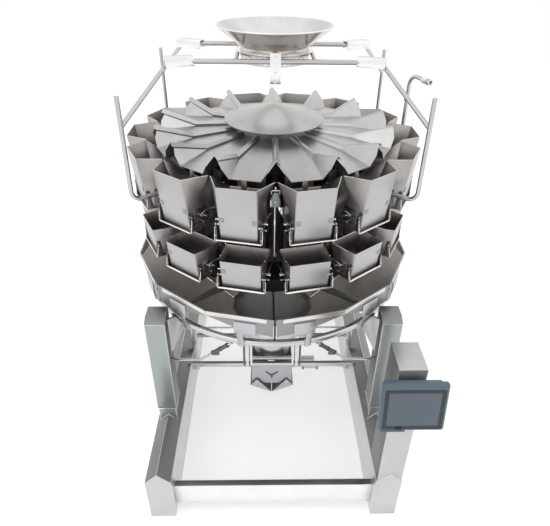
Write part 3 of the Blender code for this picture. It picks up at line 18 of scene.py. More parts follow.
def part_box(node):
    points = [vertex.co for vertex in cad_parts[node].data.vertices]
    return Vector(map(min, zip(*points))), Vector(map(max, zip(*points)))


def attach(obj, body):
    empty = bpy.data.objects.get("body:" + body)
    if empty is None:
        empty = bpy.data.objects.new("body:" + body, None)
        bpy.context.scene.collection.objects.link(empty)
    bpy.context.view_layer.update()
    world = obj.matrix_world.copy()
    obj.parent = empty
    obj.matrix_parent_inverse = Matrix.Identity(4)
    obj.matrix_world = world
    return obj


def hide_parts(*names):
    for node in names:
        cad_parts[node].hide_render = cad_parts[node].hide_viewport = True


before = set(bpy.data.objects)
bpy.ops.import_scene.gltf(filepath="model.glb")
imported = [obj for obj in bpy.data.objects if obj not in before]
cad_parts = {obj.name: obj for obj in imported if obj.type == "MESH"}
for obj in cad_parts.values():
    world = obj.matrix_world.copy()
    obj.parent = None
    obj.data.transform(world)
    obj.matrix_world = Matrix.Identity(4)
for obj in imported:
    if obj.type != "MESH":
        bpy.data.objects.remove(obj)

LOG = logging.getLogger("weigher")

Point = tuple[float, float, float]
Pair = tuple[float, float]
Colour = tuple[float, float, float]
Zoning = Callable[[Vector, Vector], int]

HEADS = 14
STEP = 2 * pi / HEADS
CHUTES = 7
CREASE = radians(32)
NUMBER = "NodeSocketFloat"
VECTOR = "NodeSocketVector"
COLOUR = "NodeSocketColor"
MATERIAL = "NodeSocketMaterial"


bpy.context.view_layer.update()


def machine_axis() -> Vector:
    """Return the foot of the machine's vertical axis, the middle of the infeed funnel."""
    low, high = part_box("infeed_funnel")
    return Vector(((low.x + high.x) / 2, (low.y + high.y) / 2, 0.0))


AXIS = machine_axis()
AT_AXIS = Matrix.Translation(AXIS)


def about_axis(angle: float) -> Matrix:
    """Return the turn that takes a part drawn facing the front to its angle on the machine."""
    return AT_AXIS @ Matrix.Rotation(angle, 4, "Z")


def each_head() -> Iterator[tuple[str, Matrix]]:
    """Yield each head's two-digit number and its turn, to the right from the front."""
    for index in range(HEADS):
        yield f"{index + 1:02d}", about_axis((index + 0.5) * STEP)


def boundary_half(radius: float) -> float:
    """Return half the width between two heads' parting planes at a distance from the axis."""
    return radius * tan(STEP / 2)


def rectangle(first: Pair, opposite: Pair) -> list[Pair]:
    """Return the four corners of a rectangle, beginning with the first."""
    (x0, y0), (x1, y1) = first, opposite
    return [(x0, y0), (x1, y0), (x1, y1), (x0, y1)]


def half_circle(x: float, z: float, radius: float) -> list[Pair]:
    """Return nine points of a half circle that stands on its diameter."""
    return [(x + radius * cos(a), z + radius * sin(a)) for a in (pi * k / 8 for k in range(9))]


def linked(name: str, data: object) -> bpy.types.Object:
    """Return a new object that is linked to the scene."""
    obj = bpy.data.objects.new(name, data)
    bpy.context.scene.collection.objects.link(obj)
    return obj


class Grain(Enum):
    """Direction of the fine lines that brushing leaves, as noise scales along X, Y and Z."""

    UPRIGHT = (900.0, 900.0, 12.0)
    LEVEL = (14.0, 14.0, 900.0)
    EVEN = (260.0, 260.0, 260.0)


class NodeBook:
    """Adds nodes to one tree and links them by name."""

    def __init__(self, tree: bpy.types.NodeTree) -> None:
        """Empty the tree that takes the nodes."""
        self.tree = tree
        tree.nodes.clear()

    def add(self, kind: str, settings: dict[str, object] | None = None,
            **inputs: object) -> bpy.types.Node:
        """Add one node.

        Args:
            kind: Blender's name of the node type.
            settings: Properties of the node.
            inputs: Socket values or sources; an underscore in a name stands for a space.

        Returns:
            The new node.
        """
        node = self.tree.nodes.new(kind)
        for key, value in (settings or {}).items():
            setattr(node, key, value)
        for key, value in inputs.items():
            self.feed(node, key.replace("_", " "), value)
        return node

    def feed(self, node: bpy.types.Node, socket: str | int, value: object) -> None:
        """Set or link one input of a node.

        Args:
            node: The node.
            socket: Name or number of its input.
            value: A plain value or a source.
        """
        target = node.inputs[socket]
        if isinstance(value, bpy.types.NodeSocket):
            self.tree.links.new(value, target)
        else:
            target.default_value = value

    def math(self, operation: str, *values: object, clamp: bool = False) -> bpy.types.NodeSocket:
        """Add a math node.

        Args:
            operation: Blender's name of the operation.
            values: Its inputs in order, numbers or sources.
            clamp: Whether the result stays between 0 and 1.

        Returns:
            The socket of the result.
        """
        node = self.add("ShaderNodeMath", {"operation": operation, "use_clamp": clamp})
        for place, value in enumerate(values):
            self.feed(node, place, value)
        return node.outputs[0]

    def clear_rays(self) -> bpy.types.NodeSocket:
        """Return 1 for camera, glossy and transmission rays and 0 for all others."""
        rays = self.add("ShaderNodeLightPath").outputs
        seen = self.math("ADD", rays["Is Camera Ray"], rays["Is Glossy Ray"])
        return self.math("ADD", seen, rays["Is Transmission Ray"], clamp=True)


def surface_group() -> bpy.types.NodeTree:
    """Return the shared node group that gives sheet metal its brushing and its clouding.

    Returns:
        A group with outputs Colour, Roughness and Normal.
    """
    name = "brushed_surface"
    if name in bpy.data.node_groups:
        return bpy.data.node_groups[name]
    tree = bpy.data.node_groups.new(name, "ShaderNodeTree")
    inputs = (("Colour", COLOUR), ("Clouding", NUMBER), ("Cloud Scale", NUMBER), ("Roughness", NUMBER),
              ("Roughness Spread", NUMBER), ("Grain Scale", VECTOR), ("Grain Depth", NUMBER))
    outputs = (("Colour", COLOUR), ("Roughness", NUMBER), ("Normal", VECTOR))
    for way, sockets in (("INPUT", inputs), ("OUTPUT", outputs)):
        for label, kind in sockets:
            tree.interface.new_socket(label, in_out=way, socket_type=kind)
    book = NodeBook(tree)
    given = book.add("NodeGroupInput").outputs
    place = book.add("ShaderNodeTexCoord").outputs["Object"]
    cloud = book.add("ShaderNodeTexNoise", Vector=place, Scale=given["Cloud Scale"], Detail=3.0,
                     Roughness=0.55)
    mapped = book.add("ShaderNodeMapping", Vector=place, Scale=given["Grain Scale"])
    grain = book.add("ShaderNodeTexNoise", Vector=mapped.outputs["Vector"], Scale=1.0, Detail=2.0)
    swing = book.add("ShaderNodeMapRange", Value=cloud.outputs[0], From_Min=0.3, From_Max=0.7,
                     To_Min=-1.0, To_Max=1.0)
    shade = book.math("MULTIPLY_ADD", swing.outputs[0], given["Clouding"], 1.0)
    tinted = book.add("ShaderNodeVectorMath", {"operation": "SCALE"}, Vector=given["Colour"], Scale=shade)
    both = book.math("ADD", grain.outputs[0], cloud.outputs[0])
    spread = book.math("SUBTRACT", both, 1.0)
    rough = book.math("MULTIPLY_ADD", spread, given["Roughness Spread"], given["Roughness"], clamp=True)
    bump = book.add("ShaderNodeBump", Strength=0.6, Distance=given["Grain Depth"], Height=grain.outputs[0])
    book.add("NodeGroupOutput", Colour=tinted.outputs[0], Roughness=rough, Normal=bump.outputs[0])
    return tree


@dataclass(frozen=True)
class Finish:
    """One surface finish.

    Attributes:
        name: Name of the material.
        colour: Linear base colour.
        roughness: Middle roughness.
        metallic: 1 for bare metal, 0 for paint and plastic.
        grain: Direction of the brushing.
        depth: Height of the brushing in metres.
        clouding: Share by which the colour swings.
        cloud_scale: Clouds per metre.
        spread: Swing of the roughness.
        coat: Weight of a clear layer.
    """

    name: str
    colour: Colour
    roughness: float
    metallic: float = 1.0
    grain: Grain = Grain.UPRIGHT
    depth: float = 0.00012
    clouding: float = 0.04
    cloud_scale: float = 9.0
    spread: float = 0.1
    coat: float = 0.0

    def material(self) -> bpy.types.Material:
        """Return the material, made on first use."""
        if self.name in bpy.data.materials:
            return bpy.data.materials[self.name]
        made = bpy.data.materials.new(self.name)
        made.use_nodes = True
        book = NodeBook(made.node_tree)
        skin = book.add("ShaderNodeGroup", {"node_tree": surface_group()}, Colour=(*self.colour, 1.0),
                        Clouding=self.clouding, Cloud_Scale=self.cloud_scale, Roughness=self.roughness,
                        Roughness_Spread=self.spread, Grain_Scale=self.grain.value, Grain_Depth=self.depth)
        shader = book.add("ShaderNodeBsdfPrincipled", Base_Color=skin.outputs["Colour"],
                          Roughness=skin.outputs["Roughness"], Normal=skin.outputs["Normal"],
                          Metallic=self.metallic, Coat_Weight=self.coat)
        book.add("ShaderNodeOutputMaterial", Surface=shader.outputs[0])
        return made


# The top, side, edge, roof and wall finishes below are copies of the frame's steel: tops, roofs and column
# sides are painted darker as shade, and rounded edges and beam walls are painted lighter as highlight.
SATIN = Finish("satin_steel", (0.39, 0.415, 0.415), 0.42, depth=0.0001)
SATIN_TOP_SHADED = Finish("satin_steel_top_painted_shade", (0.29, 0.29, 0.28), 0.44, grain=Grain.LEVEL)
SATIN_SIDE_SHADED = Finish("satin_steel_side_painted_shade", (0.2, 0.205, 0.2), 0.44, clouding=0.08)
SATIN_EDGE_HIGHLIGHT = Finish("satin_steel_edge_painted_highlight", (0.66, 0.67, 0.665), 0.34, grain=Grain.EVEN, depth=0.00003)
BEAM_END = Finish("beam_end_steel", (0.6, 0.6, 0.6), 0.42)
BEAM_ROOF_SHADED = Finish("beam_roof_painted_shade", (0.255, 0.26, 0.255), 0.42, grain=Grain.LEVEL, clouding=0.07)
BEAM_WALL_LIT = Finish("beam_wall_painted_light", (0.66, 0.665, 0.66), 0.42, grain=Grain.LEVEL)
CROSSBEAM = Finish("crossbeam_steel", (0.87, 0.875, 0.885), 0.4, grain=Grain.LEVEL)
POST = Finish("post_steel", (0.56, 0.55, 0.54), 0.42, clouding=0.06)
PIPE = Finish("polished_pipe", (0.62, 0.61, 0.6), 0.27, grain=Grain.EVEN, depth=0.00003)
TUBE = Finish("guard_tube_steel", (0.55, 0.54, 0.53), 0.22, grain=Grain.EVEN, depth=0.00003)
HOPPER = Finish("hopper_front_sheet", (0.47, 0.468, 0.468), 0.36)
# The hopper's side and inside finishes are its sheet painted darker as shade on the side walls and inside.
HOPPER_SIDE_SHADED = Finish("hopper_side_painted_shade", (0.44, 0.42, 0.41), 0.38, clouding=0.08)
HOPPER_INSIDE_SHADED = Finish("hopper_inside_painted_shade", (0.42, 0.39, 0.375), 0.4, clouding=0.08)
PAD = Finish("stamped_pad_steel", (0.34, 0.36, 0.365), 0.45, grain=Grain.EVEN)
GATE = Finish("gate_sheet", (0.2, 0.19, 0.185), 0.4, grain=Grain.LEVEL, depth=0.00005)
BRIGHT = Finish("bright_rod_steel", (0.86, 0.85, 0.83), 0.22, grain=Grain.EVEN, depth=0.00002, clouding=0.02)
TROUGH = Finish("trough_sheet", (0.58, 0.578, 0.575), 0.36, grain=Grain.EVEN, depth=0.00014, clouding=0.05,
                cloud_scale=22.0)
# A dark grey that paints the shadow under the troughs' hems and under the cone's rim.
PAINTED_SHADOW_GREY = Finish("feeder_painted_shadow", (0.17, 0.165, 0.16), 0.5, grain=Grain.EVEN)
CONE = Finish("cone_steel", (0.53, 0.53, 0.527), 0.33, grain=Grain.EVEN, depth=0.0001, clouding=0.05,
              cloud_scale=6.0)
# The chute sheet's inner face is painted lighter and its outer face darker, as light and shade on one sheet.
CHUTE_INNER_LIT = Finish("chute_inner_painted_light", (0.68, 0.655, 0.62), 0.36, clouding=0.06)
CHUTE_LIP = Finish("chute_lip_steel", (0.72, 0.71, 0.695), 0.32, grain=Grain.LEVEL)
CHUTE_OUTSIDE_SHADED = Finish("chute_outside_painted_shade", (0.32, 0.315, 0.305), 0.36, clouding=0.06)
CLAMP = Finish("clamp_steel", (0.51, 0.52, 0.54), 0.36, grain=Grain.EVEN, depth=0.00006)
HOUSING = Finish("housing_steel", (0.17, 0.165, 0.16), 0.4, clouding=0.1)
DARK_BODY = Finish("dark_body_steel", (0.09, 0.085, 0.08), 0.45, clouding=0.12)
# The funnel's outside is painted darker and warmer than its inside, as painted shade and reflection on one
# polished sheet.
FUNNEL_INSIDE = Finish("funnel_inside_steel", (0.66, 0.655, 0.65), 0.2, grain=Grain.LEVEL,
                       depth=0.00004, clouding=0.1)
FUNNEL_OUTSIDE_SHADED = Finish("funnel_outside_painted_shade", (0.6, 0.565, 0.54), 0.2, depth=0.00004, clouding=0.12)
CAST = Finish("cast_grey", (0.3, 0.33, 0.34), 0.48, grain=Grain.EVEN, depth=0.0002)
BOLT = Finish("bolt_steel", (0.66, 0.65, 0.63), 0.25, grain=Grain.EVEN, depth=0.00002)
PANEL_PAINT = Finish("blue_grey_paint", (0.105, 0.158, 0.203), 0.45, metallic=0.0, grain=Grain.EVEN,
                     clouding=0.03, cloud_scale=30.0, spread=0.06)
BEZEL = Finish("bezel_black", (0.01, 0.013, 0.02), 0.22, metallic=0.0, grain=Grain.EVEN, depth=0.00002,
               clouding=0.05, cloud_scale=20.0, spread=0.04, coat=0.3)
SCREEN = Finish("screen_glass", (0.088, 0.123, 0.156), 0.16, metallic=0.0, grain=Grain.EVEN, depth=0.00001,
                clouding=0.05, cloud_scale=6.0, spread=0.03, coat=0.4)
RUBBER = Finish("black_rubber", (0.018, 0.018, 0.018), 0.6, metallic=0.0, grain=Grain.EVEN, depth=0.0001)


class Sketch:
    """A mesh in the making."""

    def __init__(self) -> None:
        """Start with an empty mesh."""
        self.bm = bmesh.new()

    def prism(self, outline: Iterable[Point], along: Point) -> "Sketch":
        """Extrude a flat outline by a vector.

        Args:
            outline: Corners in order.
            along: How far and which way.

        Returns:
            The sketch itself.
        """
        face = self.bm.faces.new([self.bm.verts.new(point) for point in outline])
        grown = bmesh.ops.extrude_face_region(self.bm, geom=[face])["geom"]
        bmesh.ops.translate(self.bm, verts=[v for v in grown if isinstance(v, bmesh.types.BMVert)], vec=along)
        return self

    def box(self, low: Point, high: Point) -> "Sketch":
        """Add a box between two corners, given in any order."""
        (x0, x1), (y0, y1), (z0, z1) = (sorted(pair) for pair in zip(low, high))
        return self.prism([(x0, y0, z0), (x1, y0, z0), (x1, y1, z0), (x0, y1, z0)], (0, 0, z1 - z0))

    def radial(self, outline: Iterable[Pair], low_x: float, high_x: float) -> "Sketch":
        """Extrude an outline of (distance from the axis, height) across a head's middle plane."""
        return self.prism([(low_x, -r, z) for r, z in outline], (high_x - low_x, 0, 0))

    def skin(self, rows: Sequence[Sequence[Point]], loop: bool = True, caps: bool = False) -> "Sketch":
        """Skin rows of points.

        Args:
            rows: Equally long rows.
            loop: Whether each row closes on itself.
            caps: Whether the first and last rows are filled.

        Returns:
            The sketch itself.
        """
        made = [[self.bm.verts.new(point) for point in row] for row in rows]
        count = len(made[0])
        for near, far in zip(made, made[1:]):
            for i in range(count if loop else count - 1):
                j = (i + 1) % count
                self.bm.faces.new((near[i], near[j], far[j], far[i]))
        if caps:
            self.bm.faces.new(made[0])
            self.bm.faces.new(made[-1])
        return self

    def tube(self, path: Sequence[Point], radius: float, sides: int = 12, closed: bool = False) -> "Sketch":
        """Sweep a circle along a path.

        Args:
            path: Points of the centre line.
            radius: Radius of the bar.
            sides: Sides of the circle.
            closed: Whether the path is a loop.

        Returns:
            The sketch itself.
        """
        line = [Vector(point) for point in path]
        normal = Vector((0.0, 0.0, 1.0))
        rings = []
        for i, point in enumerate(line):
            before = line[i - 1] if i or closed else point
            after = line[(i + 1) % len(line)] if closed or i < len(line) - 1 else point
            ahead = (after - before).normalized()
            if not rings:
                normal = ahead.orthogonal().normalized()
            normal = (normal - ahead * normal.dot(ahead)).normalized()
            side = ahead.cross(normal)
            turns = (2 * pi * k / sides for k in range(sides))
            rings.append([point + (normal * cos(t) + side * sin(t)) * radius for t in turns])
        if closed:
            return self.skin(rings + rings[:1]).merged()
        return self.skin(rings, caps=True)

    def bar(self, start: Point, end: Point, radius: float, sides: int = 12) -> "Sketch":
        """Add a straight round bar."""
        return self.tube([start, end], radius, sides)

    def revolve(self, profile: Sequence[Pair], sides: int) -> "Sketch":
        """Turn a closed profile of (radius, height) about the vertical axis.

        Args:
            profile: Corners in order.
            sides: Flats of a full turn.

        Returns:
            The sketch itself.
        """
        rows = []
        for k in range(sides + 1):
            turn = 2 * pi * (k % sides) / sides
            rows.append([(r * sin(turn), -r * cos(turn), z) for r, z in profile])
        return self.skin(rows).merged()

    def hexagon(self, start: Point, end: Point, across: float) -> "Sketch":
        """Add a hexagonal head or nut."""
        return self.tube([start, end], across / 2 / cos(pi / 6), 6)

    def screw_head(self, centre: Point, radius: float, height: float) -> "Sketch":
        """Add a round screw head that faces the front.

        Args:
            centre: Where it sits on the surface.
            radius: Radius of its rim.
            height: How far it stands out.

        Returns:
            The sketch itself.
        """
        x, y, z = centre
        self.bar((x, y + 0.0005, z), (x, y - height * 0.6, z), radius, 14)
        return self.bar((x, y - height * 0.6, z), (x, y - height, z), radius * 0.7, 14)

    def merged(self) -> "Sketch":
        """Merge doubles and drop edges that carry no face."""
        bmesh.ops.remove_doubles(self.bm, verts=self.bm.verts, dist=1e-6)
        loose = [edge for edge in self.bm.edges if not edge.link_faces]
        bmesh.ops.delete(self.bm, geom=loose, context="EDGES")
        return self

    def placed(self, matrix: Matrix) -> "Sketch":
        """Move everything drawn so far."""
        self.bm.transform(matrix)
        return self

    def take(self, other: "Sketch", matrix: Matrix | None = None) -> "Sketch":
        """Add a copy of another sketch, moved by a matrix.

        Args:
            other: What is copied; it stays usable.
            matrix: How the copy is moved.

        Returns:
            The sketch itself.
        """
        mesh = bpy.data.meshes.new("taken")
        other.bm.to_mesh(mesh)
        mesh.transform(matrix or Matrix.Identity(4))
        self.bm.from_mesh(mesh)
        bpy.data.meshes.remove(mesh)
        return self

    def mirror_x(self) -> "Sketch":
        """Add the mirror image across the plane X = 0."""
        return self.take(flipped(self))

    def mesh(self, name: str, outward: bool = True) -> bpy.types.Mesh:
        """Return the finished mesh.

        Args:
            name: Name of the mesh.
            outward: Whether to turn the faces outwards.

        Returns:
            The mesh; the sketch is spent.
        """
        if outward:
            bmesh.ops.recalc_face_normals(self.bm, faces=self.bm.faces)
        mesh = bpy.data.meshes.new(name)
        self.bm.to_mesh(mesh)
        self.bm.free()
        return mesh


def fillet(path: Sequence[Point], radius: float, steps: int = 5) -> list[Vector]:
    """Return a path whose inner corners are arcs.

    Args:
        path: Corner points.
        radius: Radius of the arcs.
        steps: Chords in each arc.

    Returns:
        The points of the rounded path.
    """
    line = [Vector(point) for point in path]
    rounded = [line[0]]
    for before, corner, after in zip(line, line[1:], line[2:]):
        back = (before - corner).normalized()
        ahead = (after - corner).normalized()
        half = back.angle(ahead) / 2
        centre = corner + (back + ahead).normalized() * radius / sin(half)
        start = corner + back * radius / tan(half)
        spoke = start - centre
        pivot = spoke.cross(corner + ahead * radius / tan(half) - centre).normalized()
        for step in range(steps + 1):
            rounded.append(centre + Matrix.Rotation((pi - 2 * half) * step / steps, 3, pivot) @ spoke)
    rounded.append(line[-1])
    return rounded


def rounded_outline(plan: Sequence[Pair], radii: Sequence[float],
                    steps: int = 4) -> list[tuple[float, float, int]]:
    """Round the corners of a closed plan.

    Args:
        plan: Corners in order.
        radii: Radius at each corner.
        steps: Chords at each corner.

    Returns:
        Points (x, y, index of the corner that they belong to).
    """
    points = []
    for i, (here, radius) in enumerate(zip(plan, radii)):
        corner = Vector((*here, 0.0))
        before = Vector((*plan[i - 1], 0.0))
        after = Vector((*plan[(i + 1) % len(plan)], 0.0))
        arc = fillet([before, corner, after], radius, steps)[1:-1]
        points += [(p.x, p.y, i) for p in arc]
    return points


def evaluated_mesh(obj: bpy.types.Object) -> bpy.types.Mesh:
    """Return the mesh that an object's modifiers give."""
    depsgraph = bpy.context.evaluated_depsgraph_get()
    return bpy.data.meshes.new_from_object(obj.evaluated_get(depsgraph))


@dataclass
class Dressing:
    """How a mesh becomes a piece.

    Attributes:
        finish: Its surface.
        slot: Name of a material slot; not used.
        body: The body that it rides on.
        bevel: Width of the rounded edges, 0 for none.
        sheet: Thickness that a surface gets on its inner side, 0 for none.
        crease: Angle above which an edge stays sharp.
        others: Further finishes of the piece.
        zone: Gives a face's finish from its middle and its normal, 0 for the first.
    """

    finish: Finish
    slot: str
    body: str = "frame"
    bevel: float = 0.0
    sheet: float = 0.0
    crease: float = CREASE
    others: tuple[Finish, ...] = ()
    zone: Zoning | None = None

    def pattern(self, name: str, sketch: Sketch, outward: bool = True) -> bpy.types.Mesh:
        """Return a finished mesh that copies can be made from.

        Args:
            name: Name of the mesh.
            sketch: What was drawn.
            outward: Whether to turn the faces outwards.

        Returns:
            The mesh with its thickness and its rounded edges.
        """
        obj = linked(name, sketch.mesh(name, outward))
        if self.sheet:
            shell = obj.modifiers.new("sheet", "SOLIDIFY")
            shell.thickness = self.sheet
            shell.offset = -1.0
            shell.use_even_offset = True
        if self.bevel:
            edge = obj.modifiers.new("edges", "BEVEL")
            edge.width = self.bevel
            edge.segments = 2
            edge.limit_method = "ANGLE"
            edge.angle_limit = self.crease
            edge.use_clamp_overlap = True
        mesh = evaluated_mesh(obj)
        bpy.data.objects.remove(obj, do_unlink=True)
        mesh.shade_smooth()
        mesh.set_sharp_from_angle(angle=self.crease)
        if self.zone:
            zones = [self.zone(face.center, face.normal) for face in mesh.polygons]
            mesh.polygons.foreach_set("material_index", zones)
        return mesh

    def place(self, name: str, mesh: bpy.types.Mesh, matrix: Matrix | None = None,
              replaces: Sequence[str] = ()) -> bpy.types.Object:
        """Make a piece from a copy of a pattern.

        Args:
            name: Name of the piece.
            mesh: The pattern.
            matrix: Where the copy goes.
            replaces: Nodes that the piece stands for.

        Returns:
            The piece.
        """
        own = mesh.copy()
        own.name = name
        own.transform(matrix or AT_AXIS)
        zones = [face.material_index for face in mesh.polygons]
        own.materials.clear()
        for finish in (self.finish, *self.others):
            own.materials.append(finish.material())
        if self.others:
            own.polygons.foreach_set("material_index", zones)
        piece = linked(name, own)
        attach(piece, self.body)
        if replaces:
            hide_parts(*replaces)
        LOG.info("%s: %d faces on %s", name, len(own.polygons), self.body)
        return piece

    def make(self, name: str, sketch: Sketch, replaces: Sequence[str] = ()) -> bpy.types.Object:
        """Make one piece that is drawn about the machine's axis."""
        return self.place(name, self.pattern(name, sketch), AT_AXIS, replaces)


class Repeater:
    """Geometry node trees that repeat a part round the axis or along a path."""

    def __init__(self) -> None:
        """Build both trees."""
        self.around = self._around_tree()
        self.rings = self._rings_tree()

    @staticmethod
    def _tree(name: str, inputs: Sequence[tuple[str, str]]) -> tuple[bpy.types.NodeTree, NodeBook]:
        """Return a tree with a geometry output and the named inputs.

        Args:
            name: Name of the tree.
            inputs: Label and socket type of each input after the geometry.

        Returns:
            The tree and the book that adds its nodes.
        """
        tree = bpy.data.node_groups.new(name, "GeometryNodeTree")
        tree.interface.new_socket("Geometry", in_out="INPUT", socket_type="NodeSocketGeometry")
        for label, kind in inputs:
            tree.interface.new_socket(label, in_out="INPUT", socket_type=kind)
        tree.interface.new_socket("Geometry", in_out="OUTPUT", socket_type="NodeSocketGeometry")
        return tree, NodeBook(tree)

    def _around_tree(self) -> bpy.types.NodeTree:
        """Return the tree that turns copies of its own mesh about the vertical axis."""
        inputs = (("Count", "NodeSocketInt"), ("First Angle", NUMBER), ("Angle Step", NUMBER),
                  ("Finish", MATERIAL))
        tree, book = self._tree("around_the_axis", inputs)
        given = book.add("NodeGroupInput").outputs
        points = book.add("GeometryNodePoints", Count=given["Count"])
        index = book.add("GeometryNodeInputIndex").outputs[0]
        angle = book.math("MULTIPLY_ADD", index, given["Angle Step"], given["First Angle"])
        turn = book.add("ShaderNodeCombineXYZ", Z=angle)
        copies = book.add("GeometryNodeInstanceOnPoints", Points=points.outputs[0],
                          Instance=given["Geometry"],
                          Rotation=turn.outputs[0])
        real = book.add("GeometryNodeRealizeInstances", Geometry=copies.outputs[0])
        dressed = book.add("GeometryNodeSetMaterial", Geometry=real.outputs[0], Material=given["Finish"])
        book.add("NodeGroupOutput", Geometry=dressed.outputs[0])
        return tree

    def _rings_tree(self) -> bpy.types.NodeTree:
        """Return the tree that strings wire rings along its own curve."""
        inputs = (("Pitch", NUMBER), ("Ring Radius", NUMBER), ("Wire Radius", NUMBER), ("Finish", MATERIAL))
        tree, book = self._tree("rings_on_a_path", inputs)
        given = book.add("NodeGroupInput").outputs
        spaced = book.add("GeometryNodeResampleCurve", {"mode": "LENGTH"}, Curve=given["Geometry"],
                          Length=given["Pitch"])
        tangent = book.add("GeometryNodeInputTangent").outputs[0]
        facing = book.add("FunctionNodeAlignRotationToVector", {"axis": "Z"}, Vector=tangent)
        ring = book.add("GeometryNodeCurvePrimitiveCircle", Resolution=20, Radius=given["Ring Radius"])
        wire = book.add("GeometryNodeCurvePrimitiveCircle", Resolution=6, Radius=given["Wire Radius"])
        solid = book.add("GeometryNodeCurveToMesh", Curve=ring.outputs[0], Profile_Curve=wire.outputs[0])
        strung = book.add("GeometryNodeInstanceOnPoints", Points=spaced.outputs[0], Instance=solid.outputs[0],
                          Rotation=facing.outputs[0])
        real = book.add("GeometryNodeRealizeInstances", Geometry=strung.outputs[0])
        dressed = book.add("GeometryNodeSetMaterial", Geometry=real.outputs[0], Material=given["Finish"])
        book.add("NodeGroupOutput", Geometry=dressed.outputs[0])
        return tree

    @staticmethod
    def _result(obj: bpy.types.Object, tree: bpy.types.NodeTree, values: dict[str, object]) -> bpy.types.Mesh:
        """Run a tree on an object and return the plain mesh.

        Args:
            obj: The object that the tree works on; it is removed.
            tree: The node tree.
            values: Input values by name.

        Returns:
            The mesh with every copy made real.
        """
        modifier = obj.modifiers.new("repeat", "NODES")
        modifier.node_group = tree
        for item in tree.interface.items_tree:
            if item.item_type == "SOCKET" and item.in_out == "INPUT" and item.name in values:
                modifier[item.identifier] = values[item.name]
        mesh = evaluated_mesh(obj)
        obj.modifiers.clear()
        bpy.data.objects.remove(obj, do_unlink=True)
        mesh.shade_smooth()
        mesh.set_sharp_from_angle(angle=CREASE)
        return mesh

    def round_axis(self, name: str, dressing: Dressing, sketch: Sketch, count: int = HEADS,
                   first: float = STEP / 2, step: float = STEP,
                   replaces: Sequence[str] = ()) -> bpy.types.Object:
        """Make one piece of a part that is repeated about the axis.

        Args:
            name: Name of the piece.
            dressing: Its finish and body.
            sketch: The part, facing the front.
            count: Number of copies.
            first: Angle of the first copy.
            step: Angle between copies.
            replaces: Nodes that the piece stands for.

        Returns:
            The piece.
        """
        obj = linked(name, dressing.pattern(name, sketch))
        mesh = self._result(obj, self.around, {"Count": count, "First Angle": first, "Angle Step": step,
                                               "Finish": dressing.finish.material()})
        return dressing.place(name, mesh, AT_AXIS, replaces)

    def along(self, name: str, dressing: Dressing, path: Sequence[Point], pitch: float, ring: float,
              wire: float) -> bpy.types.Object:
        """Make one piece of rings along a path.

        Args:
            name: Name of the piece.
            dressing: Its finish and body.
            path: Points of the path.
            pitch: Distance between rings.
            ring: Radius of a ring.
            wire: Radius of its wire.

        Returns:
            The piece.
        """
        curve = bpy.data.curves.new(name, "CURVE")
        curve.dimensions = "3D"
        spline = curve.splines.new("POLY")
        spline.points.add(len(path) - 1)
        for slot, point in zip(spline.points, path):
            slot.co = (*point, 1.0)
        obj = linked(name, curve)
        mesh = self._result(obj, self.rings, {"Pitch": pitch, "Ring Radius": ring, "Wire Radius": wire,
                                              "Finish": dressing.finish.material()})
        return dressing.place(name, mesh)


def frame_shade_zone(_: Vector, normal: Vector) -> int:
    """Sort the faces of a beam or a column, so that each takes a lit or shaded copy of a finish as painted
    light and shade.

    Args:
        normal: The face's direction; where it lies doesn't matter.

    Returns:
        0 for a face to the front or rear, 1 for a top or a roof, 2 for a side and 3 for a rounded edge.
    """
    if 0.64 < abs(normal.z) < 0.9 or abs(normal.z) > 0.999:
        return 1
    if abs(normal.x) > 0.97:
        return 2
    return 0 if abs(normal.y) > 0.97 else 3


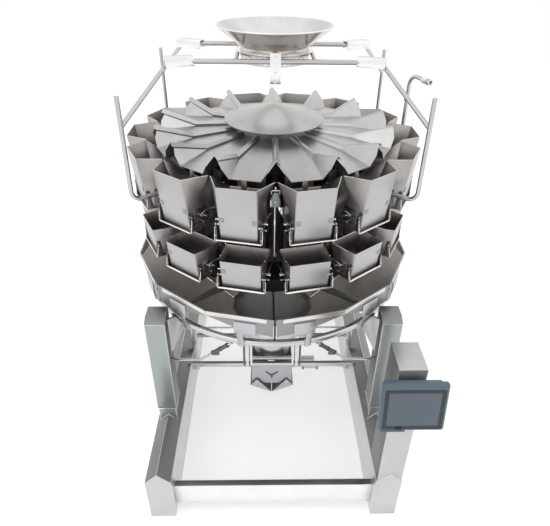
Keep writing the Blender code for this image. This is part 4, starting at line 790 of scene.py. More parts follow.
@dataclass
class SideFrames:
    """The two side frames, the crossbeams and the control post, in metres from the machine's axis."""

    beam_x: float = 0.4707
    beam_half: float = 0.0531
    beam_length_half: float = 0.7725
    ridge_z: float = 0.289
    eave_z: float = 0.237
    column_half: float = 0.041
    column_front: float = 0.471
    column_depth: float = 0.095
    column_top: float = 0.832
    shoulder_z: float = 0.812
    shoulder_depth: float = 0.035
    column_foot: float = 0.338
    flange: float = 0.006
    flange_gap: float = 0.004
    edge: float = 0.003
    crossbeam_y: float = 0.74
    crossbeam_depth: float = 0.03
    crossbeam_low: float = 0.045
    crossbeam_high: float = 0.163
    gusset_thick: float = 0.008
    ring_r: float = 0.55
    ring_z: float = 0.7875
    pipe_r: float = 0.0145
    stay_r: float = 0.0055
    post_inner_x: float = 0.42
    post_outer_x: float = 0.52
    post_depth: float = 0.14
    post_top: float = 0.866
    seat_gap: float = 0.0006

    def _beam(self, sketch: Sketch) -> None:
        """Draw the right-hand beam, closed at both ends."""
        x, half = self.beam_x, self.beam_half
        outline = [(x - half, 0.0), (x + half, 0.0), (x + half, self.eave_z), (x, self.ridge_z),
                   (x - half, self.eave_z)]
        sketch.prism([(px, -self.beam_length_half, z) for px, z in outline],
                     (0, 2 * self.beam_length_half, 0))

    def _column(self, sketch: Sketch, facing: int) -> None:
        """Draw a column and its stub.

        Args:
            sketch: Takes the column.
            facing: 1 in front, -1 at the rear.
        """
        front, rear = self.column_front, self.column_front - self.column_depth
        low, high = self.beam_x - self.column_half, self.beam_x + self.column_half
        outline = [(front, self.column_foot), (front, self.shoulder_z),
                   (front - self.shoulder_depth, self.column_top),
                   (rear, self.column_top), (rear, self.column_foot)]
        sketch.prism([(low, -facing * r, z) for r, z in outline], (high - low, 0, 0))
        inset = 0.003
        sketch.box((low + inset, -facing * (front - inset), self.eave_z),
                   (high - inset, -facing * (rear + inset), self.column_foot - self.flange_gap))

    def _foot_flange(self, bright: Sketch, gasket: Sketch, facing: int) -> None:
        """Draw the bright flange under a column and the dark gasket between the two.

        Args:
            bright: Takes the flange.
            gasket: Takes the gasket.
            facing: 1 in front, -1 at the rear.
        """
        front, rear = self.column_front, self.column_front - self.column_depth
        low, high = self.beam_x - self.column_half, self.beam_x + self.column_half
        top = self.column_foot - self.flange_gap
        bright.box((low - 0.001, -facing * (front + 0.001), top - self.flange),
                   (high + 0.001, -facing * (rear - 0.001), top))
        gasket.box((low + 0.002, -facing * (front - 0.002), top - 0.0005),
                   (high - 0.002, -facing * (rear + 0.002), self.column_foot + 0.0005))

    def _gusset(self, facing: int) -> Sketch:
        """Return the plate from a column to the ring.

        Args:
            facing: 1 in front, -1 at the rear.

        Returns:
            The plate in its place.
        """
        reach_x = self.beam_x - self.column_half + 0.012
        reach_y = self.column_front - self.column_depth / 2
        outer, angle = hypot(reach_x, reach_y), atan2(reach_x, reach_y)
        seat = self.pipe_r + 0.0006
        arc = [(self.ring_r - seat * cos(pi * k / 12), self.ring_z - seat * sin(pi * k / 12))
               for k in range(13)]
        outline = [(0.503, 0.735), (0.503, 0.768), *arc, (arc[-1][0], 0.792), (outer, 0.792), (outer, 0.6)]
        plate = Sketch().radial(outline, -self.gusset_thick / 2, self.gusset_thick / 2)
        turn = angle if facing > 0 else pi - angle
        return plate.placed(Matrix.Rotation(turn, 4, "Z"))

    def _stay(self) -> tuple[Sketch, Sketch]:
        """Return the bent stay rod and its clamp sleeve with the wing bolt."""
        end_angle, end_r = radians(17.5), self.ring_r - 0.002
        below = self.ring_z - self.pipe_r - self.stay_r - 0.0009
        points = [(self.beam_x - self.column_half + 0.01, -0.42, 0.59), (0.395, -0.44, 0.596),
                  (0.303, -0.47, 0.626), (end_r * sin(end_angle), -end_r * cos(end_angle), below)]
        rod = Sketch().tube(fillet(points, 0.03, 6), self.stay_r, 14)
        near, far = Vector(points[2]), Vector(points[3])
        along = (far - near).normalized()
        sleeve = Sketch().tube([near.lerp(far, 0.42), near.lerp(far, 0.86)], 0.0088, 20)
        for share in (0.42, 0.64, 0.86):
            middle = near.lerp(far, share)
            sleeve.tube([middle - along * 0.0025, middle + along * 0.0025], 0.0102, 20)
        middle = near.lerp(far, 0.52)
        sleeve.box(middle - Vector((0.012, 0.0028, 0.021)), middle + Vector((0.012, 0.0028, 0.0)))
        sleeve.bar(middle - Vector((0, 0, 0.021)), middle, 0.0035, 10)
        return rod, sleeve

    def _weld_beads(self) -> Sketch:
        """Return the fillet welds where the stubs meet the roof of the beam."""
        beads = Sketch()
        slope = (self.ridge_z - self.eave_z) / self.beam_half
        inner = self.column_half - 0.003
        for facing in (1, -1):
            for y in (self.column_front - 0.003, self.column_front - self.column_depth + 0.003):
                low_z = self.ridge_z - inner * slope
                line = [(self.beam_x - inner, -facing * y, low_z), (self.beam_x, -facing * y, self.ridge_z),
                        (self.beam_x + inner, -facing * y, low_z)]
                beads.tube(fillet(line, 0.004, 2), 0.0028, 8)
        return beads

    def build(self) -> None:
        """Make both side frames, the crossbeams and the control post."""
        # Columns and beams take painted shade on tops, roofs and column sides, painted light on beam walls
        # and painted highlight on rounded edges.
        steel = Dressing(SATIN, "satin_frame", bevel=self.edge, others=(SATIN_TOP_SHADED, SATIN_SIDE_SHADED, SATIN_EDGE_HIGHLIGHT),
                         zone=frame_shade_zone)
        beam_dress = Dressing(BEAM_END, "satin_frame", bevel=self.edge * 0.6,
                              others=(BEAM_ROOF_SHADED, BEAM_WALL_LIT, SATIN_EDGE_HIGHLIGHT), zone=frame_shade_zone)
        rod_dress = Dressing(PIPE, "pipe_steel")
        for name, flip in (("right", False), ("left", True)):
            beam = Sketch()
            self._beam(beam)
            columns, flanges, gaskets = Sketch(), Sketch(), Sketch()
            for facing in (1, -1):
                self._column(columns, facing)
                self._foot_flange(flanges, gaskets, facing)
            gussets = Sketch().take(self._gusset(1)).take(self._gusset(-1))
            rod, sleeve = self._stay()
            beads = self._weld_beads()
            parts = (("beam", beam, beam_dress, (f"side_frame_{name}",)),
                     ("columns", columns, steel, ()),
                     ("column_flanges", flanges, Dressing(BRIGHT, "satin_frame", bevel=0.0008), ()),
                     ("column_gaskets", gaskets, Dressing(RUBBER, "satin_frame"), ()),
                     ("gussets", gussets, Dressing(BEAM_END, "satin_frame", bevel=0.0008), ()),
                     ("stay_rod", rod, rod_dress, ()),
                     ("stay_sleeve", sleeve, Dressing(HOUSING, "pipe_steel"), ()),
                     ("weld_beads", beads, Dressing(TUBE, "satin_frame"), ()))
            for label, sketch, dressing, replaced in parts:
                drawn = flipped(sketch) if flip else sketch
                dressing.make(f"{label}_{name}", drawn, replaced)
        reach = self.beam_x - self.beam_half - 0.0006
        # The crossbeam's top strip and its ends are painted dark as shade.
        plate = Dressing(CROSSBEAM, "satin_frame", bevel=0.0025, others=(SATIN_SIDE_SHADED, SATIN_SIDE_SHADED, CROSSBEAM),
                         zone=frame_shade_zone)
        for name, facing in (("front", -1), ("rear", 1)):
            beam = Sketch().box((-reach, facing * self.crossbeam_y, self.crossbeam_low),
                                (reach, facing * (self.crossbeam_y - self.crossbeam_depth),
                                 self.crossbeam_high))
            plate.make(f"crossbeam_plate_{name}", beam, (f"{name}_crossbeam",))
        self._control_post()

    def _control_post(self) -> None:
        """Make the control post with its foot cut to the roof of the beam."""
        slope = (self.ridge_z - self.eave_z) / self.beam_half
        foot = [(x, self.ridge_z - abs(x - self.beam_x) * slope + self.seat_gap)
                for x in (self.post_inner_x, self.beam_x, self.post_outer_x)]
        outline = foot + [(self.post_outer_x, self.post_top), (self.post_inner_x, self.post_top)]
        post = Sketch().prism([(x, -self.beam_length_half, z) for x, z in outline], (0, self.post_depth, 0))
        # The post's sides are painted dark as shade and its rounded edges light as highlight.
        dress = Dressing(POST, "satin_frame", bevel=self.edge * 0.6, others=(POST, SATIN_SIDE_SHADED, SATIN_EDGE_HIGHLIGHT),
                         zone=frame_shade_zone)
        dress.make("control_post_shell", post, ("control_post",))


def flipped(sketch: Sketch) -> Sketch:
    """Return the mirror image of a sketch across the plane X = 0."""
    twin = Sketch().take(sketch, Matrix.Diagonal((-1.0, 1.0, 1.0, 1.0)))
    bmesh.ops.reverse_faces(twin.bm, faces=twin.bm.faces)
    return twin


@dataclass
class SupportRing:
    """The pipe ring with its arms and the clamps that carry the chutes."""

    ring_r: float = 0.55
    ring_z: float = 0.7875
    pipe_r: float = 0.0145
    stem_r: float = 0.11
    arm_thick: float = 0.008
    arm_top: float = 0.8
    arm_low: float = 0.755
    plate_r: float = 0.592
    plate_half: float = 0.042
    plate_top: float = 0.905
    plate_low: float = 0.848
    plate_shift: float = 0.018
    strap_shift: float = -0.002
    plate_sheet: float = 0.004
    strap_half: float = 0.0125
    strap_thick: float = 0.005

    def build(self, repeater: Repeater) -> None:
        """Make the pipe, the arms, the clamps and their bolts."""
        steps = 168
        path = [(self.ring_r * sin(2 * pi * k / steps), -self.ring_r * cos(2 * pi * k / steps), self.ring_z)
                for k in range(steps)]
        pipe = Sketch().tube(path, self.pipe_r, 20, closed=True)
        Dressing(PIPE, "pipe_steel").make("ring_pipe", pipe, ("support_ring",))
        arm = Sketch().radial([(self.stem_r + 0.0005, self.arm_low), (self.ring_r, self.arm_low + 0.02),
                               (self.ring_r, self.arm_top - 0.004), (self.stem_r + 0.0005, self.arm_top)],
                              -self.arm_thick / 2, self.arm_thick / 2)
        dress = Dressing(SATIN, "pipe_steel", bevel=0.0008)
        repeater.round_axis("ring_arms", dress, arm, CHUTES, 0.0, 2 * STEP)
        self._clamps(repeater)

    def _clamps(self, repeater: Repeater) -> None:
        """Make the upright plates, the straps over the pipe and the bolts."""
        back = self.plate_r * cos(STEP / 2) + 0.0004
        front = back + self.plate_sheet
        plate = Sketch().box((-self.plate_half, -back, self.plate_low),
                             (self.plate_half, -front, self.plate_top))
        dress = Dressing(CLAMP, "pipe_steel", bevel=0.0012)
        pipe_front, pipe_low = self.ring_r + self.pipe_r, self.ring_z - self.pipe_r
        strap = Sketch().radial(
            [(back + 0.0005, self.plate_low + 0.012), (front - 0.0005, self.plate_low + 0.012),
             (front - 0.0005, self.plate_low - 0.008), (pipe_front + self.strap_thick, self.ring_z + 0.012),
             (pipe_front + self.strap_thick, self.ring_z - 0.01),
             (self.ring_r + 0.008, pipe_low - self.strap_thick),
             (self.ring_r - 0.012, pipe_low - self.strap_thick), (self.ring_r - 0.012, self.ring_z - 0.006),
             (self.ring_r, self.ring_z + 0.006), (back + 0.0005, self.plate_low - 0.012)],
            -self.strap_half, self.strap_half)
        top = pipe_low - self.strap_thick
        bolts = Sketch().hexagon((0, -self.ring_r, top + 0.001), (0, -self.ring_r, top - 0.007), 0.013)
        bolts.bar((0, -self.ring_r, top - 0.006), (0, -self.ring_r, top - 0.012), 0.0035, 10)
        bolt_dress = Dressing(BOLT, "pipe_steel", bevel=0.0006)
        for side, first in (("right", STEP / 2), ("left", -STEP / 2)):
            inward = -1.0 if side == "right" else 1.0
            for name, dressing, part, shift in (("clamp_plates", dress, plate, self.plate_shift),
                                                ("clamp_straps", dress, strap, self.strap_shift),
                                                ("clamp_bolts", bolt_dress, bolts, self.strap_shift)):
                moved = Sketch().take(part, Matrix.Translation((inward * shift, 0.0, 0.0)))
                repeater.round_axis(f"{name}_{side}", dressing, moved, CHUTES, first, 2 * STEP)


@dataclass
class Chutes:
    """Seven folded chute sheets round the bowl, their lips and the collecting funnel below."""

    rim_r: float = 0.592
    rim_z: float = 0.934
    fold_depth: float = 0.02
    seam_depth: float = 0.08
    skirt_z: float = 0.862
    sheet: float = 0.003
    seam_gap: float = 0.003
    seam_out: float = 0.004
    lip_height: float = 0.018
    lip_out: float = 0.004
    lip_setback: float = 0.03
    collar_r: float = 0.2
    collar_z: float = 0.555
    collar_drop: float = 0.02

    def _corner(self, radius: float, corner: int, inward: float = 0.0) -> Pair:
        """Return a bowl corner in plan, moved along the rim towards the chute's fold.

        Args:
            radius: Distance from the axis.
            corner: Number of the corner, 0 at the fold.
            inward: How far it is moved.

        Returns:
            The corner in plan.
        """
        angle = corner * STEP
        x, y = radius * sin(angle), -radius * cos(angle)
        return x - inward * cos(angle), y - inward * sin(angle)

    def build(self, repeater: Repeater) -> None:
        """Make the sheets, the lips, the seam bolts and the funnel."""
        levels = ((self.rim_r, self.rim_z, self.rim_z),
                  (self.rim_r, self.rim_z - self.seam_depth, self.rim_z - self.fold_depth),
                  (self.collar_r, self.collar_z, self.collar_z),
                  (self.collar_r, self.collar_z - self.collar_drop, self.collar_z - self.collar_drop))
        sheet = Sketch()
        rows = []
        for radius, seam_z, fold_z in levels:
            left = self._corner(radius, -1, -self.seam_gap)
            middle = self._corner(radius, 0)
            right = self._corner(radius, 1, self.seam_gap)
            rows.append([(*left, seam_z), (*middle, fold_z), (*right, seam_z)])
        sheet.skin(rows, loop=False)

        def zone(centre: Vector, normal: Vector) -> int:
            """Return 1 for a face of the outer side and 0 for one of the inner side."""
            return 1 if centre.x * normal.x + centre.y * normal.y > 0.0 else 0

        # The inner side is painted lighter and the outer side darker, as painted light and shade on one
        # sheet.
        dress = Dressing(CHUTE_INNER_LIT, "chute_steel", sheet=self.sheet, bevel=0.0012, crease=radians(14),
                         others=(CHUTE_OUTSIDE_SHADED,), zone=zone)
        mesh = dress.pattern("chute", sheet)
        for index in range(CHUTES):
            name = f"chute_sheet_{index + 1}"
            dress.place(name, mesh, about_axis((2 * index + 1) * STEP),
                        ("discharge_chutes",) if index == 0 else ())
        self._lips(repeater)
        self._skirts(repeater)
        self._funnel()

    def _skirts(self, repeater: Repeater) -> None:
        """Make the skirts that take the walls' lower edges down between fold and seam."""
        flat, half = self.rim_r * cos(STEP / 2), self.rim_r * sin(STEP / 2) - 0.004
        seam_z, fold_z = self.rim_z - self.seam_depth, self.rim_z - self.fold_depth
        outline = [(-half, seam_z - 0.001), (-0.01, self.skirt_z), (half, fold_z - 0.003),
                   (half, fold_z + 0.002),
                   (-half, seam_z + 0.003)]
        for name, side, first in (("chute_skirts_right", 1, STEP / 2), ("chute_skirts_left", -1, -STEP / 2)):
            skirt = Sketch().prism([(side * x, -flat + 0.0002, z) for x, z in outline], (0, 0.0024, 0))
            # The skirts take the outer side's painted shade.
            repeater.round_axis(name, Dressing(CHUTE_OUTSIDE_SHADED, "chute_steel"), skirt, CHUTES, first, 2 * STEP)

    def _lips(self, repeater: Repeater) -> None:
        """Make the bright folded lips, which end short of the seams, and the seam flanges."""
        flat = self.rim_r * cos(STEP / 2)
        half = self.rim_r * sin(STEP / 2)
        profile = rectangle((flat + 0.0004, self.rim_z + 0.0004),
                            (flat + self.lip_out, self.rim_z - self.lip_height))
        for name, low, high, first in (("chute_lips_right", -half + self.lip_setback, half, STEP / 2),
                                       ("chute_lips_left", -half, half - self.lip_setback, -STEP / 2)):
            lip = Sketch().radial(profile, low, high)
            dress = Dressing(CHUTE_LIP, "chute_steel", bevel=0.0012)
            repeater.round_axis(name, dress, lip, CHUTES, first, 2 * STEP)
        outline = rectangle((self.rim_r + self.seam_out, self.rim_z - 0.022),
                            (self.rim_r - 0.002, self.rim_z - self.seam_depth))
        flange = Sketch()
        for side in (-1, 1):
            flange.radial(outline, side * (self.seam_gap + 0.0004), side * (self.seam_gap + 0.003))
        repeater.round_axis("seam_flanges", Dressing(CHUTE_LIP, "chute_steel"), flange, CHUTES, 0.0, 2 * STEP)

    def _funnel(self) -> None:
        """Make the collecting funnel with its rolled rim and its clamp band."""
        top, sheet, slope = self.collar_z - self.collar_drop - 0.0005, self.sheet, 0.04
        mouth, outlet, outlet_z, spout_z = 0.215, 0.092, 0.31, 0.252
        profile = [(mouth, top), (mouth, top - sheet), (self.collar_r, top - sheet),
                   (self.collar_r, top - slope),
                   (outlet, outlet_z), (outlet, spout_z), (outlet - sheet, spout_z),
                   (outlet - sheet, outlet_z + 0.001),
                   (self.collar_r - 2 * sheet, top - slope + 0.001), (self.collar_r - 2 * sheet, top)]
        funnel = Sketch().revolve(profile, 84)
        Dressing(CHUTE_LIP, "polished_steel").make("collecting_funnel_shell", funnel, ("collecting_funnel",))
        band_z = top - slope / 2
        band = Sketch().revolve(rectangle((self.collar_r + 0.0004, band_z - 0.008),
                                          (self.collar_r + 0.0022, band_z + 0.008)), 84)
        Dressing(BRIGHT, "polished_steel").make("collecting_funnel_band", band)


@dataclass
class HopperShape:
    """Sizes of one kind of hopper, facing the front: distances from the axis, half widths, heights."""

    name: str
    wall: float
    top_z: float
    rear_top_z: float
    bottom_z: float
    top_front_r: float
    bottom_front_r: float
    front_half: float
    flare_r: float
    flare_half: float
    rear_r: float
    rear_half: float
    bottom_rear_r: float
    flare_front_z: float
    flare_rear_z: float
    pin_rise: float
    pad_rise: float
    pads: tuple[int, ...]
    bulge: float = 0.003
    corner: float = 0.006
    rear_corner: float = 0.003

    def front(self, z: float) -> float:
        """Return the front face's distance from the axis at a height."""
        share = (z - self.bottom_z) / (self.top_z - self.bottom_z)
        return self.bottom_front_r + (self.top_front_r - self.bottom_front_r) * share

    def rear(self, z: float) -> float:
        """Return the rear face's distance from the axis at a height."""
        share = (z - self.bottom_z) / (self.rear_top_z - self.bottom_z)
        return self.bottom_rear_r + (self.rear_r - self.bottom_rear_r) * share

    @property
    def pin_z(self) -> float:
        """Height of the gate's pin."""
        return self.bottom_z + self.pin_rise

    @property
    def pin_r(self) -> float:
        """Distance of the gate's pin from the axis."""
        return self.front(self.pin_z) - 0.008

    def shell(self) -> Sketch:
        """Draw the outer surface, from the rim to the outlet."""
        def plan(front: float, flare_half: float, rear: float, rear_half: float) -> list[Pair]:
            """Return the six corners of the hopper at one level, from two distances and two half widths."""
            half = self.front_half
            return [(-half, -front), (half, -front), (flare_half, -self.flare_r), (rear_half, -rear),
                    (-rear_half, -rear), (-flare_half, -self.flare_r)]

        lower_half = self.front_half + self.bulge
        middle_z = (self.flare_front_z + self.flare_rear_z) / 2
        levels = ((plan(self.top_front_r, self.flare_half, self.rear_r, self.rear_half),
                   (self.top_z, self.top_z, self.rear_top_z)),
                  (plan(self.front(self.flare_front_z), lower_half, self.rear(middle_z), self.front_half),
                   (self.flare_front_z, self.flare_rear_z, self.flare_rear_z)),
                  (plan(self.bottom_front_r, lower_half, self.bottom_rear_r, self.front_half),
                   (self.bottom_z, self.bottom_z, self.bottom_z)))
        radii = (self.corner, self.corner, self.rear_corner, self.rear_corner, self.rear_corner,
                 self.rear_corner)
        kind = (0, 0, 1, 2, 2, 1)
        rows = []
        for outline, heights in levels:
            rows.append([(x, y, heights[kind[i]]) for x, y, i in rounded_outline(outline, radii)])
        return Sketch().skin(rows)


POOL = HopperShape(
    name="pool", wall=0.002, top_z=1.435, rear_top_z=1.365, bottom_z=1.243, top_front_r=0.578,
    bottom_front_r=0.556, front_half=0.067, flare_r=0.494, flare_half=boundary_half(0.494) - 0.0027,
    rear_r=0.405, rear_half=0.072, bottom_rear_r=0.42, flare_front_z=1.314, flare_rear_z=1.352,
    pin_rise=0.05, pad_rise=0.062, pads=(1, -1))
WEIGH = HopperShape(
    name="weigh", wall=0.002, top_z=1.145, rear_top_z=1.145, bottom_z=1.035, top_front_r=0.555,
    bottom_front_r=0.543, front_half=0.074, flare_r=0.49, flare_half=0.084, rear_r=0.437, rear_half=0.086,
    bottom_rear_r=0.45, flare_front_z=1.085, flare_rear_z=1.098, pin_rise=0.045, pad_rise=0.058, pads=(1,))


@dataclass
class Heads:
    """Fourteen heads: a drive housing, two hoppers, two gates and their levers."""

    housing_half: float = 0.052
    housing_rear_r: float = 0.2955
    housing_front_r: float = 0.375
    housing_top: float = 1.4
    housing_low: float = 1.03
    gate_sheet: float = 0.003
    swing_gap: float = 0.005
    wire_r: float = 0.0014
    eye_r: float = 0.01
    pin_radius: float = 0.003

    def build(self) -> None:
        """Make all heads and gates."""
        housing_dress = Dressing(HOUSING, "body_steel", bevel=0.003)
        housing = housing_dress.pattern("housing", self._housing())
        trim_dress = Dressing(BOLT, "body_steel", bevel=0.0005)
        trim = trim_dress.pattern("housing_trim", self._housing_trim())
        for number, place in each_head():
            housing_dress.place(f"drive_housing_{number}", housing, place, (f"head_{number}",))
            trim_dress.place(f"drive_trim_{number}", trim, place)
        for shape in (POOL, WEIGH):
            self._hopper(shape)
            self._gate(shape)

    def _housing(self) -> Sketch:
        """Draw the drive housing with its sloping foot."""
        inner, front, low = self.housing_rear_r, self.housing_front_r, self.housing_low
        outline = [(inner, low + 0.02), (inner, self.housing_top), (front, self.housing_top),
                   (front, low + 0.05),
                   (front - 0.03, low)]
        return Sketch().radial(outline, -self.housing_half, self.housing_half)

    def _housing_trim(self) -> Sketch:
        """Draw the cover screws, the drive shafts and the hanger plates on the housing's front."""
        trim = Sketch()
        front = self.housing_front_r
        for z in (1.09, 1.215, 1.385):
            for x in (-0.044, 0.044):
                trim.screw_head((x, -front, z), 0.0035, 0.002)
        for shape, low_z, high_z in ((POOL, 1.275, 1.315), (WEIGH, 1.075, 1.115)):
            middle = (low_z + high_z) / 2
            for side in (-1, 1):
                outline = [(front - 0.001, low_z), (front - 0.001, high_z),
                           (shape.rear(high_z) + 0.001, high_z),
                           (shape.rear(low_z) + 0.001, low_z)]
                trim.radial(outline, side * 0.028, side * 0.022)
                x = side * 0.04
                trim.bar((x, -front + 0.002, middle), (x, -front - 0.012, middle), 0.008, 18)
                trim.bar((side * 0.02, -shape.rear(middle) + 0.014, middle),
                         (side * 0.046, -shape.rear(middle) + 0.014, middle), 0.004, 12)
        return trim

    def _hopper(self, shape: HopperShape) -> None:
        """Make fourteen hoppers of one kind with their pads, side plates and pins."""
        middle = -(shape.flare_r + shape.rear_r) / 2

        def zone(centre: Vector, normal: Vector) -> int:
            """Return 3 for a rim, 2 for the inside, 1 for a side wall and 0 for the front or the rear."""
            if abs(normal.z) > 0.94:
                return 3
            if centre.x * normal.x + (centre.y - middle) * normal.y < 0.0:
                return 2
            return 1 if abs(normal.x) > 0.45 else 0

        # The side walls and the inside are painted darker as shade, and the rim is painted bright as
        # highlight.
        shell_dress = Dressing(HOPPER, "hopper_steel", sheet=shape.wall, bevel=0.0005,
                               others=(HOPPER_SIDE_SHADED, HOPPER_INSIDE_SHADED, BRIGHT), zone=zone)
        shell = shell_dress.pattern(f"{shape.name}_shell", shape.shell())
        pad_dress = Dressing(PAD, "hopper_steel", bevel=0.0004)
        pads = [pad_dress.pattern(f"{shape.name}_pads_{half}", self._pads(shape, side))
                for half, side in (("right", 1), ("left", -1))]
        if shape is WEIGH:
            self._rims(shape)
        plate_dress = Dressing(HOUSING, "hopper_steel", bevel=0.0004)
        plates = plate_dress.pattern(f"{shape.name}_plates", self._side_plates(shape))
        pin_dress = Dressing(BRIGHT, "hopper_steel", bevel=0.0004)
        pins = pin_dress.pattern(f"{shape.name}_pins", self._pins(shape))
        for number, place in each_head():
            shell_dress.place(f"{shape.name}_hopper_{number}", shell, place)
            pad_dress.place(f"{shape.name}_pads_{number}", pads[int(number) > CHUTES], place)
            plate_dress.place(f"{shape.name}_side_plates_{number}", plates, place)
            pin_dress.place(f"{shape.name}_pins_{number}", pins, place)

    def _rims(self, shape: HopperShape) -> None:
        """Make the bright hems along the rear and the flared edges of the hoppers' mouths."""
        z, inset = shape.top_z + 0.0004, 0.003
        path = [(-shape.flare_half + inset, -shape.flare_r - 0.03, z),
                (-shape.flare_half + inset, -shape.flare_r, z),
                (-shape.rear_half + inset, -shape.rear_r - inset, z),
                (shape.rear_half - inset, -shape.rear_r - inset, z),
                (shape.flare_half - inset, -shape.flare_r, z),
                (shape.flare_half - inset, -shape.flare_r - 0.03, z)]
        dress = Dressing(BRIGHT, "hopper_steel")
        hem = dress.pattern("weigh_hem", Sketch().tube(fillet(path, 0.004, 3), 0.0017, 8))
        for number, place in each_head():
            dress.place(f"weigh_hem_{number}", hem, place)

    def _pads(self, shape: HopperShape, half: int) -> Sketch:
        """Draw the stamped square pads on the front of a hopper.

        Args:
            shape: Sizes of the hopper.
            half: 1 for the right half of the machine, -1 for the left.

        Returns:
            The pads.
        """
        pads = Sketch()
        side_half, height = 0.009, 0.018
        z = shape.bottom_z + shape.pad_rise
        for side in shape.pads:
            x = side * half * (shape.front_half - 0.011)
            near, far = shape.front(z), shape.front(z + height)
            pads.prism([(x - side_half, -near, z), (x + side_half, -near, z),
                        (x + side_half, -far, z + height),
                        (x - side_half, -far, z + height)], (0, -0.001, 0))
        return pads

    def _side_wall(self, shape: HopperShape) -> float:
        """Return the half width of a hopper's lower side wall at its pin."""
        return shape.front_half + shape.bulge * (shape.front(shape.pin_z) - shape.pin_r) / (
            shape.front(shape.pin_z) - shape.flare_r)

    def _side_plates(self, shape: HopperShape) -> Sketch:
        """Draw the stiffening plate on each lower side wall."""
        plates = Sketch()
        wall = shape.front_half + shape.bulge
        low, high = shape.bottom_z + 0.01, shape.flare_front_z - 0.006
        front, rear = shape.pin_r - 0.022, shape.flare_r - 0.03
        outline = [(front, low), (front - 0.006, high), (rear + 0.014, high), (rear, low + 0.012),
                   (rear + 0.008, low)]
        return plates.radial(outline, wall - 0.0006, wall + 0.0022).mirror_x()

    def _pins(self, shape: HopperShape) -> Sketch:
        """Draw the gate pins, the hanging pins, the links and the springs beside a hopper."""
        pins = Sketch()
        wall = self._side_wall(shape)
        end = wall + self.swing_gap + self.gate_sheet + 0.004
        r, z = shape.pin_r, shape.pin_z
        pins.bar((wall - 0.001, -r, z), (end, -r, z), self.pin_radius, 16)
        pins.hexagon((end - 0.0005, -r, z), (end + 0.0015, -r, z), 0.007)
        outer = shape.front_half + shape.bulge + 0.001
        back, rise = 0.038, -0.003
        for more, drop, reach in ((0.0, 0.0, 0.02), (0.028, 0.014, 0.014), (0.014, 0.032, 0.012)):
            y, height = -(r - back - more), z + rise - drop
            pins.bar((outer, y, height), (outer + reach, y, height), 0.0026, 12)
            pins.bar((outer + reach - 0.003, y, height), (outer + reach, y, height), 0.0042, 12)
        link_x = outer + 0.01
        pins.tube(fillet([(link_x, -(r - back), z + rise), (link_x, -(r - back - 0.028), z + rise + 0.008),
                          (link_x, -(self.housing_front_r + 0.004), z + rise - 0.008)], 0.01, 4), 0.0024, 10)
        coil = [(outer + 0.006 + 0.003 * cos(t), -(r - back - 0.028 * t / (14 * pi)),
                 z + rise - 0.014 * t / (14 * pi) + 0.003 * sin(t))
                for t in (14 * pi * k / 84 for k in range(85))]
        pins.tube(coil, 0.0007, 5)
        return pins.mirror_x()

    def _gate(self, shape: HopperShape) -> None:
        """Make fourteen gates of one kind, each on its own body."""
        arm_in = shape.front_half + shape.bulge * 0.55 + self.swing_gap + 0.0006
        arm_out = arm_in + self.gate_sheet
        top = shape.bottom_z - self.swing_gap
        low = top - self.gate_sheet
        lip_in = shape.bottom_front_r + self.swing_gap
        lip_out = lip_in + self.gate_sheet
        leaf = Sketch().radial(rectangle((shape.bottom_rear_r, low), (lip_out, top)), -arm_out, arm_out)
        foot = top - 0.001
        r, z = shape.pin_r, shape.pin_z
        outline = [(r - 0.016, foot), (r + 0.0096, foot)] + half_circle(r, z, self.eye_r)
        leaf.take(Sketch().radial(outline, arm_in, arm_out).mirror_x())
        bar_r, bar_z = lip_out + 0.0005, (low + top) / 2
        if shape is POOL:
            rod = Sketch().bar((-arm_out, -bar_r, bar_z), (arm_out, -bar_r, bar_z), 0.0029, 14)
        else:
            rod = Sketch().box((-arm_out, -bar_r - 0.0012, low), (arm_out, -bar_r + 0.0012, low + 0.0065))
        wire_x = arm_out + self.wire_r + 0.003
        for side in (-1, 1):
            path = fillet([(side * (arm_out - 0.004), -bar_r, bar_z), (side * wire_x, -bar_r, bar_z),
                           (side * wire_x, -(r + 0.004), z - 0.008),
                           (side * (arm_out - 0.001), -(r + 0.004), z - 0.008)], 0.004, 4)
            rod.tube(path, self.wire_r, 10)
            cross_r, cross_z = (r + 0.004 + bar_r * 2) / 3, (z - 0.008 + bar_z * 2) / 3
            ends = [(side * x, -cross_r, cross_z) for x in (arm_out - 0.001, wire_x + 0.001)]
            rod.bar(*ends, self.wire_r, 10)
        leaf_mesh = Dressing(GATE, "gate_steel", bevel=0.0006).pattern(f"{shape.name}_leaf", leaf)
        rod_mesh = Dressing(BRIGHT, "gate_steel").pattern(f"{shape.name}_rod", rod)
        for number, place in each_head():
            body = f"{shape.name}_gate_{number}"
            Dressing(GATE, "gate_steel", body).place(f"{body}_leaf", leaf_mesh, place, (body,))
            Dressing(BRIGHT, "gate_steel", body).place(f"{body}_rod", rod_mesh, place)


